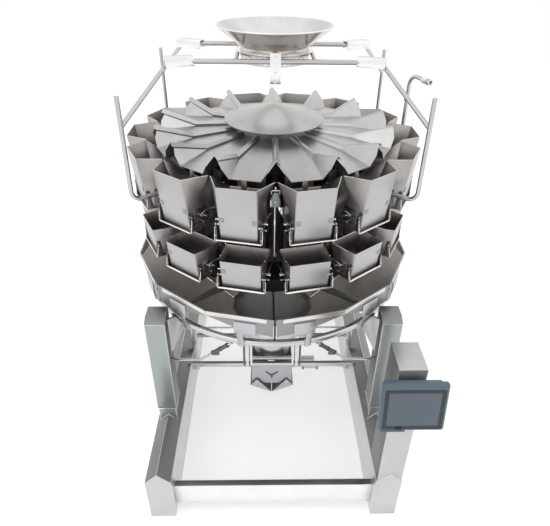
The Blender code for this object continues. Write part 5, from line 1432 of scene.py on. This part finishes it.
@dataclass
class Feeders:
    """Fourteen feeder troughs, each with one wall lapped over its neighbour's, and the dispersion cone."""

    inner_r: float = 0.15
    bend_r: float = 0.315
    tip_r: float = 0.457
    lip_r: float = 0.466
    inner_z: float = 1.449
    lip_z: float = 1.4157
    inner_top: float = 1.46
    bend_top: float = 1.447
    tip_z: float = 1.487
    lip_half: float = 0.0555
    gap: float = 0.002
    lean: float = 0.0065
    sheet: float = 0.0024
    hem_sheet: float = 0.0016
    hem_rise: float = 0.0022
    hem_gap: float = 0.005
    hem_out: float = 0.0135
    tip_back: float = 0.01
    tip_drop: float = 0.009
    wing_bulge: float = 0.009
    cone_r: float = 0.197
    cone_rim_z: float = 1.49
    cone_apex_z: float = 1.545
    body_top: float = 1.4153

    def floor_z(self, radius: float) -> float:
        """Return the height of a trough's floor."""
        reach = self.lip_r - self.inner_r
        return self.inner_z + (self.lip_z - self.inner_z) * (radius - self.inner_r) / reach

    def _trough(self) -> Sketch:
        """Draw one trough: a floor, low steep walls that widen from a bend into wings, and an open lip."""
        trough = Sketch()

        def corner(x: float, radius: float, z: float) -> bmesh.types.BMVert:
            """Return a new vertex at a distance from the axis."""
            return trough.bm.verts.new((x, -radius, z))

        floors = []
        for side in (-1, 1):
            inner = boundary_half(self.inner_r) - self.gap
            bend = boundary_half(self.bend_r) - self.gap
            inner_top = corner(side * inner, self.inner_r, self.inner_top)
            inner_fold = corner(side * (inner - self.lean), self.inner_r, self.inner_z)
            bend_top = corner(side * bend, self.bend_r, self.bend_top)
            bend_fold = corner(side * (bend - self.lean), self.bend_r, self.floor_z(self.bend_r))
            tip_r = self.tip_r - (self.tip_back if side < 0 else 0.0)
            tip = corner(side * (boundary_half(tip_r) - self.gap), tip_r,
                         self.tip_z - (self.tip_drop if side < 0 else 0.0))
            lip = corner(side * self.lip_half, self.lip_r, self.lip_z)
            middle = (tip.co + lip.co) / 2
            middle += (middle - bend_fold.co).normalized() * self.wing_bulge
            edge = trough.bm.verts.new(middle)
            for face in ((inner_top, inner_fold, bend_fold, bend_top), (bend_top, bend_fold, tip),
                         (bend_fold, lip, edge), (bend_fold, edge, tip)):
                trough.bm.faces.new(face if side < 0 else face[::-1])
            floors.append((inner_fold, bend_fold, lip))
        left, right = floors
        for near in (0, 1):
            trough.bm.faces.new((left[near], right[near], right[near + 1], left[near + 1]))
        return trough

    def _hem(self) -> Sketch:
        """Draw the hem along a trough's right-hand wall, which laps over the next trough's wall."""
        rows = []
        for radius, top, low, out in ((self.inner_r, self.inner_top, self.inner_z, 0.0),
                                      (self.bend_r, self.bend_top, self.floor_z(self.bend_r), 0.0),
                                      (self.tip_r, self.tip_z, self.tip_z - 0.0165, 0.002)):
            plane = boundary_half(radius)
            rows.append([(plane - 0.003, -radius, top + 0.0004),
                         (plane + 0.0022, -radius, top + self.hem_rise),
                         (plane + self.hem_out + out, -radius, low + self.sheet + self.hem_gap)])
        return Sketch().skin(rows, loop=False)

    def _painted_shadow_strip(self) -> Sketch:
        """Draw the dark strip under the outer edge of a hem, which paints the shadow in the gap below it."""
        rows = []
        for radius, low in ((self.inner_r, self.inner_z), (self.bend_r, self.floor_z(self.bend_r)),
                            (self.tip_r - 0.012, self.tip_z - 0.0185)):
            near = boundary_half(radius) + self.hem_out - 0.0016
            foot, top = low + self.sheet * 0.2, low + self.sheet + self.hem_gap - 0.0012
            rows.append([(near, -radius, foot), (near - 0.003, -radius, foot), (near - 0.003, -radius, top),
                         (near, -radius, top)])
        return Sketch().skin(rows, caps=True)

    def build(self, repeater: Repeater) -> None:
        """Make the troughs, the posts, the deck and the cone."""
        dress = Dressing(TROUGH, "feeder_steel", sheet=self.sheet, bevel=0.0003, crease=radians(5))
        hem_dress = Dressing(TROUGH, "feeder_steel", sheet=self.hem_sheet, crease=radians(4))
        # A dark strip under each hem paints the shadow in the gap below it.
        shadow_strip_dress = Dressing(PAINTED_SHADOW_GREY, "feeder_steel")
        trough = dress.pattern("trough", self._trough(), outward=False)
        hem = hem_dress.pattern("hem", self._hem(), outward=False)
        shadow_strip = shadow_strip_dress.pattern("shadow_strip", self._painted_shadow_strip())
        for number, place in each_head():
            dress.place(f"trough_{number}", trough, place, ("feeder_troughs",) if number == "01" else ())
            hem_dress.place(f"trough_hem_{number}", hem, place)
            shadow_strip_dress.place(f"trough_joint_{number}", shadow_strip, place)
        self._posts(repeater)
        self._cone()

    def _posts(self, repeater: Repeater) -> None:
        """Make the deck, the posts that carry the troughs and the bright tab under each lip."""
        half, rear, front = 0.0125, 0.262, 0.3755
        below = self.floor_z(0.3)
        post = Sketch().box((-half, -rear - 0.008, self.body_top), (half, -rear, self.floor_z(rear + 0.008)))
        post.box((-0.022, -0.3, below - 0.006), (0.022, -0.235, below - 0.001))
        repeater.round_axis("trough_drive_posts", Dressing(CAST, "feeder_steel", bevel=0.001), post)
        light = Sketch().box((-half, -front - 0.008, 1.33), (half, -front, self.floor_z(front + 0.008)))
        repeater.round_axis("trough_front_posts", Dressing(HOUSING, "feeder_steel", bevel=0.001), light)
        tab = Sketch().box((-0.014, -0.46, 1.335), (0.005, -0.4575, self.floor_z(0.46) - 0.0002))
        repeater.round_axis("trough_lip_tabs", Dressing(BRIGHT, "feeder_steel", bevel=0.0006), tab)
        deck_r, deck_z = 0.235, self.floor_z(0.235) - 0.0012
        deck = Sketch().revolve(rectangle((0.06, deck_z), (deck_r, deck_z - 0.003)), 84)
        Dressing(TROUGH, "feeder_steel").make("trough_deck", deck)

    def _cone(self) -> None:
        """Make the dispersion cone with its folded rim and its stem."""
        rim, apex = self.cone_rim_z, self.cone_apex_z
        profile = [(0.0, apex), (0.01, apex - 0.0008), (0.022, apex - 0.0044), (self.cone_r - 0.001, rim),
                   (self.cone_r, rim - 0.001), (self.cone_r, rim - 0.004), (self.cone_r - 0.002, rim - 0.004),
                   (self.cone_r - 0.003, rim - 0.002), (0.03, apex - 0.022), (0.03, self.body_top),
                   (0.0, self.body_top)]
        cone = Sketch().revolve(profile, 120)
        Dressing(CONE, "feeder_steel").make("cone_sheet", cone, ("dispersion_cone",))
        # A dark ring under the rim paints the shadow below it.
        ring_out, ring_in = self.cone_r - 0.0006, self.cone_r - 0.003
        ring = Sketch().revolve([(ring_in, rim - 0.0036), (ring_out, rim - 0.0038), (ring_out, rim - 0.0065),
                                 (ring_in, rim - 0.0065)], 120)
        Dressing(PAINTED_SHADOW_GREY, "feeder_steel").make("cone_rim_shadow", ring)


@dataclass
class GuardFrame:
    """The tube frame above the heads with its sleeves, sensor plate and infeed funnel."""

    post_r: float = 0.638
    tube_r: float = 0.008
    top_z: float = 1.674
    elbow_z: float = 1.315
    bend_r: float = 0.035
    angle: float = 2 * STEP
    rail_z: float = 1.733
    rail_y: float = 0.17
    rail_half: float = 0.365
    rail_r: float = 0.009
    slant_foot: float = 1.576
    body_r: float = 0.295
    neck_r: float = 0.128
    rim_r: float = 0.215
    rim_z: float = 1.83
    neck_z: float = 1.758
    low_z: float = 1.704
    sheet: float = 0.003
    flange: float = 0.015

    def _corner(self) -> tuple[Sketch, Sketch]:
        """Return the tubes and the sleeve of the front right corner."""
        foot = Vector((sin(self.angle), -cos(self.angle), 0))
        inner = foot * (self.body_r / cos(STEP / 2) + 0.0005)
        outer = foot * self.post_r
        lift = Vector((0, 0, self.elbow_z))
        bent = fillet([inner + lift, outer + lift, outer + Vector((0, 0, self.top_z))], self.bend_r, 8)
        tubes = Sketch().tube(bent, self.tube_r, 18)
        rail_end = Vector((self.rail_half, -self.rail_y, self.rail_z))
        rail_foot = outer + Vector((0, 0, self.slant_foot))
        tubes.tube([rail_foot, rail_end], self.tube_r, 18)
        lean = atan2(-(outer.y - rail_end.y), outer.x - rail_end.x) * 0.3
        sleeve = Sketch()
        x, y, z, sheet = 0.05, 0.022, 0.015, 0.0025
        sleeve.box((-x, -y, z - sheet), (x, y, z))
        sleeve.box((-x, -y, -z), (x, -y + sheet, z - sheet / 2))
        sleeve.box((-x, y - sheet, -z), (x, y, z - sheet / 2))
        middle = rail_end + Vector((-x * 0.75 + 0.004, 0, 0))
        sleeve.placed(Matrix.Translation(middle) @ Matrix.Rotation(-lean, 4, "Z"))
        return tubes, sleeve

    def build(self, repeater: Repeater) -> None:
        """Make the tubes, the sleeves, the plate and the funnel."""
        tubes, sleeves = Sketch(), Sketch()
        for scale_x in (1.0, -1.0):
            for scale_y in (1.0, -1.0):
                corner, sleeve = self._corner()
                scale = Matrix.Diagonal((scale_x, scale_y, 1.0, 1.0))
                tubes.take(corner, scale)
                sleeves.take(sleeve, scale)
        for side in (-1, 1):
            tubes.bar((-self.rail_half, side * self.rail_y, self.rail_z),
                      (self.rail_half, side * self.rail_y, self.rail_z),
                      self.rail_r, 18)
            bar_x = side * (self.neck_r + self.rail_r + 0.0003)
            tubes.bar((bar_x, -self.rail_y, self.rail_z), (bar_x, self.rail_y, self.rail_z),
                      self.rail_r * 0.8, 18)
        Dressing(TUBE, "pipe_steel").make("guard_tubes", tubes, ("guard_frame",))
        Dressing(BRIGHT, "pipe_steel", bevel=0.001).make("guard_sleeves", sleeves)
        plate_y = -self.rail_y - self.rail_r + 0.002
        plate = Sketch().box((-0.019, plate_y - 0.004, 1.66), (0.019, plate_y, 1.763))
        Dressing(BRIGHT, "pipe_steel", bevel=0.0012).make("sensor_plate", plate)
        screws = Sketch()
        for z in (1.672, 1.7, 1.751):
            screws.screw_head((0.0, plate_y - 0.004, z), 0.0038, 0.0022)
        Dressing(BOLT, "pipe_steel").make("sensor_plate_screws", screws)
        self._infeed(repeater)

    def _infeed(self, repeater: Repeater) -> None:
        """Make the infeed funnel, its rolled rim, its flange and the strips on its collar."""
        sheet, flange_z = self.sheet, self.rail_z + self.rail_r * 0.8 + 0.0003
        bead = [(self.rim_r - 0.003 + 0.003 * cos(a), self.rim_z - 0.003 + 0.003 * sin(a))
                for a in (pi / 2 - pi * k / 8 for k in range(8))]
        profile = bead + [(self.neck_r, self.neck_z), (self.neck_r, flange_z + sheet),
                          (self.neck_r + self.flange, flange_z + sheet),
                          (self.neck_r + self.flange, flange_z),
                          (self.neck_r, flange_z), (self.neck_r, self.low_z),
                          (self.neck_r - sheet, self.low_z),
                          (self.neck_r - sheet, self.neck_z + sheet * 0.6),
                          (self.rim_r - sheet * 1.9, self.rim_z - 0.002)]
        funnel = Sketch().revolve(profile, 128)

        def zone(centre: Vector, normal: Vector) -> int:
            """Return 2 for the rim and the flange, 1 for the inside and 0 for the outside."""
            if abs(normal.z) > 0.94 or centre.z > self.rim_z - 0.005:
                return 2
            return 0 if centre.x * normal.x + centre.y * normal.y > 0.0 else 1

        # The outside is painted darker and warmer than the inside as shade and reflection, and the rim and
        # flange are painted bright as highlight.
        dress = Dressing(FUNNEL_OUTSIDE_SHADED, "polished_steel", others=(FUNNEL_INSIDE, BRIGHT), zone=zone)
        dress.make("infeed_shell", funnel, ("infeed_funnel",))
        strip = Sketch().box((-0.006, -self.neck_r - 0.002, self.low_z + 0.003),
                             (0.006, -self.neck_r + 0.0004, flange_z - 0.001))
        dress = Dressing(BRIGHT, "polished_steel", bevel=0.0006)
        repeater.round_axis("infeed_collar_strips", dress, strip, 12, radians(15), radians(30))


@dataclass
class TimingHopper:
    """The timing hopper, its leaves and the frame that hangs it between the beams."""

    reach: float = 0.4173
    post: float = 0.027
    post_low: float = 0.108
    post_top: float = 0.404
    bar: float = 0.018
    bar_z: float = 0.134
    top_bar_z: float = 0.395
    half: float = 0.105
    depth: float = 0.1
    sheet: float = 0.003
    top_z: float = 0.245
    low_z: float = 0.095
    pin_x: float = 0.078
    pin_z: float = 0.114
    pin_radius: float = 0.005
    tip_z: float = 0.036
    leaf_drop: float = 0.009
    swing_gap: float = 0.005
    eye: float = 0.012
    strap_x: float = 0.15
    front_strap_x: float = 0.096
    front_strap_top: float = 0.4
    strap_sheet: float = 0.006
    roller_r: float = 0.009
    roller_z: float = 0.284
    rail_low: float = 0.24
    rail_high: float = 0.2555

    def build(self) -> None:
        """Make the walls, the frame, the cylinder and the leaves."""
        walls = Sketch()
        outer = rectangle((-self.half, -self.depth), (self.half, self.depth))
        rows = [[(x, y, z) for x, y, _ in rounded_outline(outer, (0.005,) * 4)]
                for z in (self.top_z, self.low_z)]
        walls.skin(rows)
        dress = Dressing(CLAMP, "polished_steel", sheet=self.sheet, bevel=0.0005)
        dress.make("timing_walls", walls, ("timing_hopper",))
        self._frame()
        self._drive()
        self._front()
        for name, side in (("left", -1), ("right", 1)):
            self._leaf(name, side)

    def _frame(self) -> None:
        """Make the posts, the bars and the straps."""
        frame_bars, straps, dark = Sketch(), Sketch(), Sketch()
        half, bar = self.post / 2, self.bar
        for side in (-1, 1):
            frame_bars.box((side * self.reach, -half, self.post_low),
                           (side * (self.reach - self.post), half, self.post_top))
            frame_bars.box((side * (self.half - 0.0015), -half + 0.002, self.bar_z - bar / 2),
                           (side * (self.reach - half), half - 0.002, self.bar_z + bar / 2))
            frame_bars.box((side * (self.strap_x + 0.002), -0.004, self.top_bar_z - 0.004),
                           (side * (self.reach - half), 0.004, self.top_bar_z + 0.004))
            straps.box((side * self.strap_x, -half - 0.004, self.bar_z),
                       (side * (self.strap_x + self.strap_sheet), half + 0.004, self.top_bar_z + 0.002))
            near, far = -(self.depth + 0.0162), -(self.depth + 0.0192)
            for inner, outer in ((0.1, 0.1105), (0.119, 0.131)):
                straps.box((side * inner, near, self.rail_low), (side * outer, far, self.front_strap_top))
            for inner, outer in ((0.112, 0.1165), (0.1355, 0.146)):
                dark.box((side * inner, near, self.rail_low), (side * outer, far, self.front_strap_top))
        Dressing(PIPE, "polished_steel", bevel=0.0015).make("timing_frame_bars", frame_bars)
        Dressing(BRIGHT, "polished_steel", bevel=0.0008).make("timing_straps", straps)
        Dressing(HOUSING, "polished_steel", bevel=0.0008).make("timing_dark_straps", dark)
        rails = Sketch()
        for face in (-1, 1):
            rails.box((-self.reach, face * (self.depth - 0.0004), self.rail_low),
                      (self.reach, face * (self.depth + 0.0165), self.rail_high))
        # The rails' tops are painted dark as shade.
        dress = Dressing(CHUTE_LIP, "polished_steel", bevel=0.001, others=(HOUSING, CHUTE_LIP, CHUTE_LIP),
                         zone=frame_shade_zone)
        dress.make("timing_rails", rails)

    def _front(self) -> None:
        """Make the roller bar between the front straps and the dark crossed links on the front wall."""
        y, end = -(self.depth + 0.007), self.front_strap_x + 0.006
        roller = Sketch().bar((-end, y, self.roller_z), (end, y, self.roller_z), self.roller_r, 20)
        Dressing(TUBE, "polished_steel").make("timing_roller", roller)
        links = Sketch()
        wall, face = -self.depth + 0.0003, -self.depth - 0.003
        for side in (-1, 1):
            outline = [(0.0035, 0.158), (0.03, 0.182), (0.034, 0.176), (0.0035, 0.147)]
            links.prism([(side * x, wall, z) for x, z in outline], (0, face + self.depth, 0))
        links.box((-0.004, wall, 0.132), (0.004, face, 0.16))
        Dressing(HOUSING, "polished_steel", bevel=0.0004).make("timing_links", links)

    def _drive(self) -> None:
        """Make the valve box, the air cylinder with its rod below it, and the pins of the leaves."""
        start, end = self.half + 0.062, self.half + 0.15
        z = self.bar_z - 0.02
        body = Sketch().bar((start + 0.01, 0, z), (end - 0.01, 0, z), 0.01, 28)
        caps = Sketch()
        for x in (start, end - 0.012):
            caps.box((x, -0.0115, z - 0.0115), (x + 0.012, 0.0115, z + 0.0115))
        box_x = self.half + 0.055
        valve = Sketch().box((box_x, -0.016, self.bar_z + self.bar / 2 - 0.001),
                             (box_x + 0.07, 0.016, self.bar_z + 0.048))
        valve.box((box_x + 0.003, -0.013, self.bar_z + 0.047), (box_x + 0.067, 0.013, self.bar_z + 0.051))
        Dressing(BEAM_END, "polished_steel", bevel=0.002).make("timing_valve_box", valve)
        rod = Sketch().bar((self.half - 0.002, 0, z), (start + 0.002, 0, z), 0.004, 16)
        pin_end = self.depth + self.swing_gap + self.sheet + 0.004
        for side in (-1, 1):
            for face in (-1, 1):
                rod.bar((side * self.pin_x, face * (self.depth - 0.0015), self.pin_z),
                        (side * self.pin_x, face * pin_end, self.pin_z), self.pin_radius, 18)
        Dressing(PIPE, "polished_steel").make("timing_cylinder", body)
        Dressing(CAST, "polished_steel", bevel=0.0008).make("timing_cylinder_caps", caps)
        Dressing(BRIGHT, "polished_steel", bevel=0.0005).make("timing_pins", rod)

    def _leaf(self, name: str, side: int) -> None:
        """Make one leaf on its own body.

        Args:
            name: Which leaf, left or right.
            side: -1 for the left, 1 for the right.
        """
        body = f"timing_gate_{name}"
        arm_in = self.depth + self.swing_gap
        arm_out = arm_in + self.sheet
        outer_x = self.half + self.swing_gap
        tip_x = 0.0015
        shoulder = self.low_z - self.leaf_drop
        outline = [(outer_x + self.sheet, shoulder), (outer_x + self.sheet, shoulder + 0.002),
                   (outer_x, shoulder + 0.002),
                   (tip_x, self.tip_z + self.sheet * 1.3), (tip_x, self.tip_z)]
        leaf = Sketch().prism([(x, -arm_out, z) for x, z in outline], (0, 2 * arm_out, 0))
        shape = [(tip_x, self.tip_z + 0.001), (outer_x + 0.001, shoulder + 0.001)]
        shape += half_circle(self.pin_x, self.pin_z, self.eye)
        for face in (-1, 1):
            leaf.prism([(x, face * arm_in, z) for x, z in shape], (0, face * self.sheet, 0))
        drawn = flipped(leaf) if side < 0 else leaf
        Dressing(CLAMP, "gate_steel", body, bevel=0.0006).make(f"timing_leaf_{name}", drawn, (body,))


@dataclass
class ControlPanel:
    """The tilted operator panel with its bracket and its tray."""

    x: float = 0.469
    front_y: float = 0.8455
    z: float = 0.7585
    half: float = 0.1135
    height: float = 0.194
    depth: float = 0.046
    tilt: float = radians(10)
    screen_half: float = 0.0892
    screen_height: float = 0.136
    screen_rise: float = -0.0065
    bezel: float = 0.0145
    post_face: float = 0.7728

    def build(self) -> None:
        """Make every piece of the panel."""
        spot = Matrix.Translation((self.x, -self.front_y, self.z))
        place = AT_AXIS @ spot @ Matrix.Rotation(-self.tilt, 4, "X")
        high = self.height / 2
        side_half = self.screen_half + self.bezel
        window_low = -self.screen_height / 2 + self.screen_rise - self.bezel
        window_high = self.screen_height / 2 + self.screen_rise + self.bezel
        shell = Sketch()
        outer = rectangle((-self.half, -high), (self.half, high))
        inner = rectangle((-side_half, window_low), (side_half, window_high))

        def ring(plan: Sequence[Pair], radius: float, y: float) -> list[Point]:
            """Return a plan with rounded corners at one depth."""
            return [(px, y, pz) for px, pz, _ in rounded_outline(plan, (radius,) * 4, 5)]

        shrink = 0.006
        rear = [(px * 0.9, pz * 0.86) for px, pz in outer]
        soft = [(px * (1 - shrink / self.half), pz * (1 - shrink / high)) for px, pz in outer]
        shell.skin([ring(inner, 0.004, 0.003), ring(inner, 0.004, 0.0006), ring(soft, 0.007, 0.0),
                    ring(outer, 0.009, shrink), ring(outer, 0.009, self.depth * 0.42),
                    ring(rear, 0.009, self.depth * 0.6), ring(rear, 0.009, self.depth)], caps=True)
        dress = Dressing(PANEL_PAINT, "panel_paint", bevel=0.0004)
        dress.place("panel_housing", dress.pattern("panel_housing", shell), place, ("control_panel",))
        bezel = Sketch().skin([ring(inner, 0.004, 0.0029), ring(inner, 0.004, 0.0012)], caps=True)
        self._place(BEZEL, "panel_bezel", bezel, place)
        window = rectangle((-self.screen_half, window_low + self.bezel),
                           (self.screen_half, window_high - self.bezel))
        screen = Sketch().skin([ring(window, 0.0015, 0.002), ring(window, 0.0015, 0.0009)], caps=True)
        self._place(SCREEN, "panel_screen", screen, place)
        self._button(place, window_low)
        self._fittings(place)

    def _place(self, finish: Finish, name: str, sketch: Sketch, place: Matrix, bevel: float = 0.0) -> None:
        """Make one piece at a place of its own."""
        dress = Dressing(finish, "panel_paint", bevel=bevel)
        dress.place(name, dress.pattern(name, sketch), place)

    def _button(self, place: Matrix, window_low: float) -> None:
        """Make the oval button under the screen."""
        rows = []
        for share, y in ((1.0, 0.0006), (1.0, -0.001), (0.82, -0.0018), (0.55, -0.0022)):
            turns = (2 * pi * k / 28 for k in range(28))
            rows.append([(-0.044 + 0.0125 * share * cos(t), y, window_low + 0.003 + 0.0056 * share * sin(t))
                         for t in turns])
        self._place(RUBBER, "panel_button", Sketch().skin(rows, caps=True), place)

    def _fittings(self, place: Matrix) -> None:
        """Make the bracket, the tray, its lip and the small lever on the rear edge."""
        low = -self.height / 2
        bracket = Sketch().box((self.x - 0.04, -self.front_y + self.depth * 0.7, self.z - 0.035),
                               (self.x + 0.04, -self.post_face, self.z + 0.035))
        self._place(CAST, "panel_bracket", bracket, AT_AXIS, 0.002)
        tray_x, tray_z = self.x - self.half + 0.012, self.z + low - 0.018
        tray = Sketch().box((tray_x, -self.front_y - 0.005, tray_z),
                            (tray_x + 0.085, -self.front_y + 0.0595, tray_z + 0.004))
        tray.box((tray_x, -self.front_y - 0.005, tray_z + 0.003),
                 (tray_x + 0.085, -self.front_y - 0.003, tray_z + 0.009))
        tray.box((tray_x + 0.01, -self.front_y + 0.012, tray_z + 0.001),
                 (tray_x + 0.075, -self.front_y + 0.018, self.z + low + 0.02))
        self._place(PANEL_PAINT, "panel_tray", tray, AT_AXIS, 0.0006)
        lever = Sketch().tube(fillet([(0.088, self.depth * 0.6, 0.07), (0.094, self.depth * 0.5, 0.088),
                                      (0.104, self.depth * 0.4, 0.083)], 0.004, 3), 0.0022, 10)
        self._place(RUBBER, "panel_lever", lever, place)


@dataclass
class Conduit:
    """The bent conduit that rises between two heads to a threaded connector."""

    angle: float = 4 * STEP
    radius: float = 0.01
    reach: float = 0.572
    top_z: float = 1.63
    bend_r: float = 0.045
    tip: Point = (0.603, 0.0, 1.626)
    elbow_z: float = 1.315
    ring_z: float = 1.53
    body_r: float = 0.295

    def build(self, repeater: Repeater) -> None:
        """Make the hose, its ribs, the threaded connector and the clamping ring."""
        way = Vector((sin(self.angle), -cos(self.angle), 0))
        level = Vector((0, 0, self.elbow_z))
        inner, outer = way * (self.body_r / cos(STEP / 2) + 0.0005), way * self.reach
        top, tip = outer + Vector((0, 0, self.top_z)), Vector(self.tip)
        path = fillet([inner + level, outer + level, top, tip], self.bend_r, 10)
        hose = Sketch().tube(path, self.radius * 0.9, 20)
        Dressing(PIPE, "pipe_steel").make("conduit_hose", hose, ("conduit_gooseneck",))
        back = (top - tip).normalized()
        start = tip + back * 0.045
        connector = Sketch().tube([start, tip + back * 0.03], 0.0135, 20)
        connector.hexagon(tip + back * 0.031, tip + back * 0.02, 0.024)
        connector.tube([tip + back * 0.021, tip], 0.0115, 20)
        Dressing(BRIGHT, "pipe_steel", bevel=0.0006).make("conduit_connector", connector)
        thread = [tip + back * 0.019, tip + back * 0.001]
        repeater.along("conduit_thread", Dressing(BOLT, "pipe_steel"), thread, 0.0018, 0.0117, 0.0007)
        collar = outer + Vector((0, 0, self.ring_z))
        ring = Sketch().tube([collar - Vector((0, 0, 0.005)), collar + Vector((0, 0, 0.005))],
                             self.radius + 0.0022, 24)
        Dressing(RUBBER, "pipe_steel", bevel=0.0008).make("conduit_ring", ring)


@dataclass
class CentreBody:
    """Dress of the dark body behind the hoppers, with what stands in the gaps between heads."""

    gap_r: float = 0.43
    drum_r: float = 0.295
    tube_gaps: tuple[int, ...] = (2, 4, 5, 9, 12)

    def build(self) -> None:
        """Dress the body and make the brackets, the sensor covers and the light rods in the gaps."""
        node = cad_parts["centre_body"]
        node.data.materials.clear()
        node.data.materials.append(DARK_BODY.material())
        cover = Sketch()
        near, z0, z1 = -self.gap_r, 1.307, 1.362
        plan = [(-0.019, z0), (0.017, z0), (0.017, z0 + 0.022), (0.009, z1), (-0.007, z1),
                (-0.019, z0 + 0.026)]
        cover.prism([(px, near, pz) for px, pz in plan], (0, 0.03, 0))
        Dressing(CAST, "body_steel", bevel=0.0012).make("gap_sensor_covers", self._in_open_gaps(cover))
        strip = Sketch().box((-0.0186, near - 0.0012, z0 + 0.002), (-0.015, near + 0.001, z0 + 0.026))
        tongue = [(0.0085, -0.001), (0.0265, -0.001), (0.0265, -0.029), (0.018, -0.024)]
        strip.prism([(x, near - 0.001, z0 + drop) for x, drop in tongue], (0, 0.003, 0))
        strip.box((0.009, near + 0.001, z0 - 0.004), (0.0165, near + 0.012, z0 + 0.004))
        strip.bar((0.0, near + 0.02, z1 + 0.012), (0.0, near + 0.012, z1 + 0.012), 0.0035, 12)
        strip.screw_head((0.0, near, z0 + 0.02), 0.0022, 0.0012)
        Dressing(BRIGHT, "body_steel", bevel=0.0004).make("gap_bright_fittings", self._in_open_gaps(strip))
        bracket = Sketch().box((-0.016, -self.gap_r + 0.004, 1.366), (0.016, -self.drum_r - 0.001, 1.37))
        bracket.box((-0.016, -self.gap_r + 0.004, 1.354), (-0.013, -self.gap_r + 0.04, 1.37))
        bracket.box((0.013, -self.gap_r + 0.004, 1.354), (0.016, -self.gap_r + 0.04, 1.37))
        bracket.box((-0.004, -self.gap_r + 0.026, 1.359), (0.004, -self.drum_r - 0.001, 1.366))
        Dressing(BOLT, "body_steel", bevel=0.0006).make("gap_brackets", self._in_open_gaps(bracket))
        x, y = -0.002, -self.gap_r + 0.012
        rod = Sketch().bar((x, y, 1.314), (x, y, 1.105), 0.0042, 14)
        rod.hexagon((x, y, 1.112), (x, y, 1.1), 0.011)
        rod.box((-0.003, y, 1.106), (0.003, -self.drum_r - 0.001, 1.11))
        Dressing(BRIGHT, "body_steel").make("gap_rods", self._in_open_gaps(rod))

    def _in_open_gaps(self, part: Sketch) -> Sketch:
        """Return copies of a part in the gaps that no guard tube or conduit passes through.

        Args:
            part: The part, drawn for the gap at the front.

        Returns:
            All copies in one sketch.
        """
        copies = Sketch()
        for gap in range(HEADS):
            if gap not in self.tube_gaps:
                copies.take(part, Matrix.Rotation(gap * STEP, 4, "Z"))
        return copies


@dataclass(frozen=True)
class PhotoCamera:
    """Camera of the photograph, solved from it; pixels are those of a picture 550 wide and 526 high."""

    place: Point = (-0.0385, -1.9876, 2.0987)
    pitch: float = 0.5767
    yaw: float = 0.0252
    roll: float = 0.0134
    focal_px: float = 501.19
    width_px: float = 550.0
    centre_row_px: float = 260.95
    height_px: float = 526.0
    sensor: float = 36.0

    def build(self) -> None:
        """Make the scene's camera."""
        data = bpy.data.cameras.new("camera")
        data.sensor_width = self.sensor
        data.lens = self.focal_px / self.width_px * self.sensor
        data.shift_y = (self.centre_row_px - self.height_px / 2) / self.width_px
        data.dof.use_dof = False
        camera = linked("camera", data)
        turn = Matrix.Rotation(-self.yaw, 3, "Z") @ Matrix.Rotation(pi / 2 - self.pitch, 3, "X")
        camera.rotation_euler = (turn @ Matrix.Rotation(self.roll, 3, "Z")).to_euler()
        camera.location = AXIS + Vector(self.place)
        bpy.context.scene.camera = camera


@dataclass(frozen=True)
class Studio:
    """Pale floor, white surroundings and soft lamps."""

    floor_half: float = 9.0
    floor_colour: Colour = (0.86, 0.86, 0.865)
    sky_level: float = 0.8
    key_power: float = 13.0
    fill_power: float = 4.5
    top_power: float = 4.5
    floor_glow: float = 0.44

    def build(self) -> None:
        """Make the floor, the world and the lamps."""
        half, drop = self.floor_half, -0.0005
        rows = [[(-half, y, drop), (half, y, drop)] for y in (-half, half)]
        floor = linked("floor", Sketch().skin(rows, loop=False).mesh("floor", outward=False))
        floor.data.materials.append(self._floor_material())
        self._world()
        self._lamp("key", (-1.8, -2.4, 3.6), 2.6, self.key_power)
        self._lamp("fill", (2.6, -1.6, 2.8), 2.4, self.fill_power)
        self._lamp("top", (0.2, 0.6, 4.2), 2.8, self.top_power)

    def _floor_material(self) -> bpy.types.Material:
        """Return the floor's material, which shows white to the camera and keeps the shadow."""
        made = bpy.data.materials.new("pale_floor")
        made.use_nodes = True
        book = NodeBook(made.node_tree)
        matt = book.add("ShaderNodeBsdfDiffuse", Color=(*self.floor_colour, 1.0))
        glow = book.add("ShaderNodeEmission", Color=(1.0, 1.0, 1.0, 1.0), Strength=self.floor_glow)
        lit = book.add("ShaderNodeMixShader", Fac=book.clear_rays())
        book.feed(lit, 1, matt.outputs[0])
        both = book.add("ShaderNodeAddShader")
        book.feed(both, 0, matt.outputs[0])
        book.feed(both, 1, glow.outputs[0])
        book.feed(lit, 2, both.outputs[0])
        book.add("ShaderNodeOutputMaterial", Surface=lit.outputs[0])
        return made

    def _world(self) -> None:
        """Give the world a white look and a lower light level."""
        world = bpy.data.worlds.new("studio")
        world.use_nodes = True
        bpy.context.scene.world = world
        book = NodeBook(world.node_tree)
        level = book.add("ShaderNodeMapRange", Value=book.clear_rays(), To_Min=self.sky_level, To_Max=1.0)
        sky = book.add("ShaderNodeBackground", Color=(1.0, 1.0, 1.0, 1.0), Strength=level.outputs[0])
        book.add("ShaderNodeOutputWorld", Surface=sky.outputs[0])

    def _lamp(self, name: str, place: Point, size: float, power: float) -> None:
        """Make one square lamp that points at the heads.

        Args:
            name: Name of the lamp.
            place: Where it hangs, from the foot of the axis.
            size: Length of a side.
            power: Its power in watts.
        """
        data = bpy.data.lights.new(name, "AREA")
        data.shape = "SQUARE"
        data.size = size
        data.energy = power
        lamp = linked(name, data)
        lamp.location = AXIS + Vector(place)
        aim = AXIS + Vector((0.0, 0.0, 1.0)) - lamp.location
        lamp.rotation_euler = aim.to_track_quat("-Z", "Y").to_euler()


def main() -> None:
    """Build every class in order."""
    logging.basicConfig(level=logging.INFO, format="%(message)s")
    bpy.context.scene.view_settings.view_transform = "Standard"
    PhotoCamera().build()
    Studio().build()
    repeater = Repeater()
    SideFrames().build()
    SupportRing().build(repeater)
    Chutes().build(repeater)
    CentreBody().build()
    Heads().build()
    Feeders().build(repeater)
    GuardFrame().build(repeater)
    TimingHopper().build()
    ControlPanel().build()
    Conduit().build(repeater)


if __name__ == "__main__":
    main()
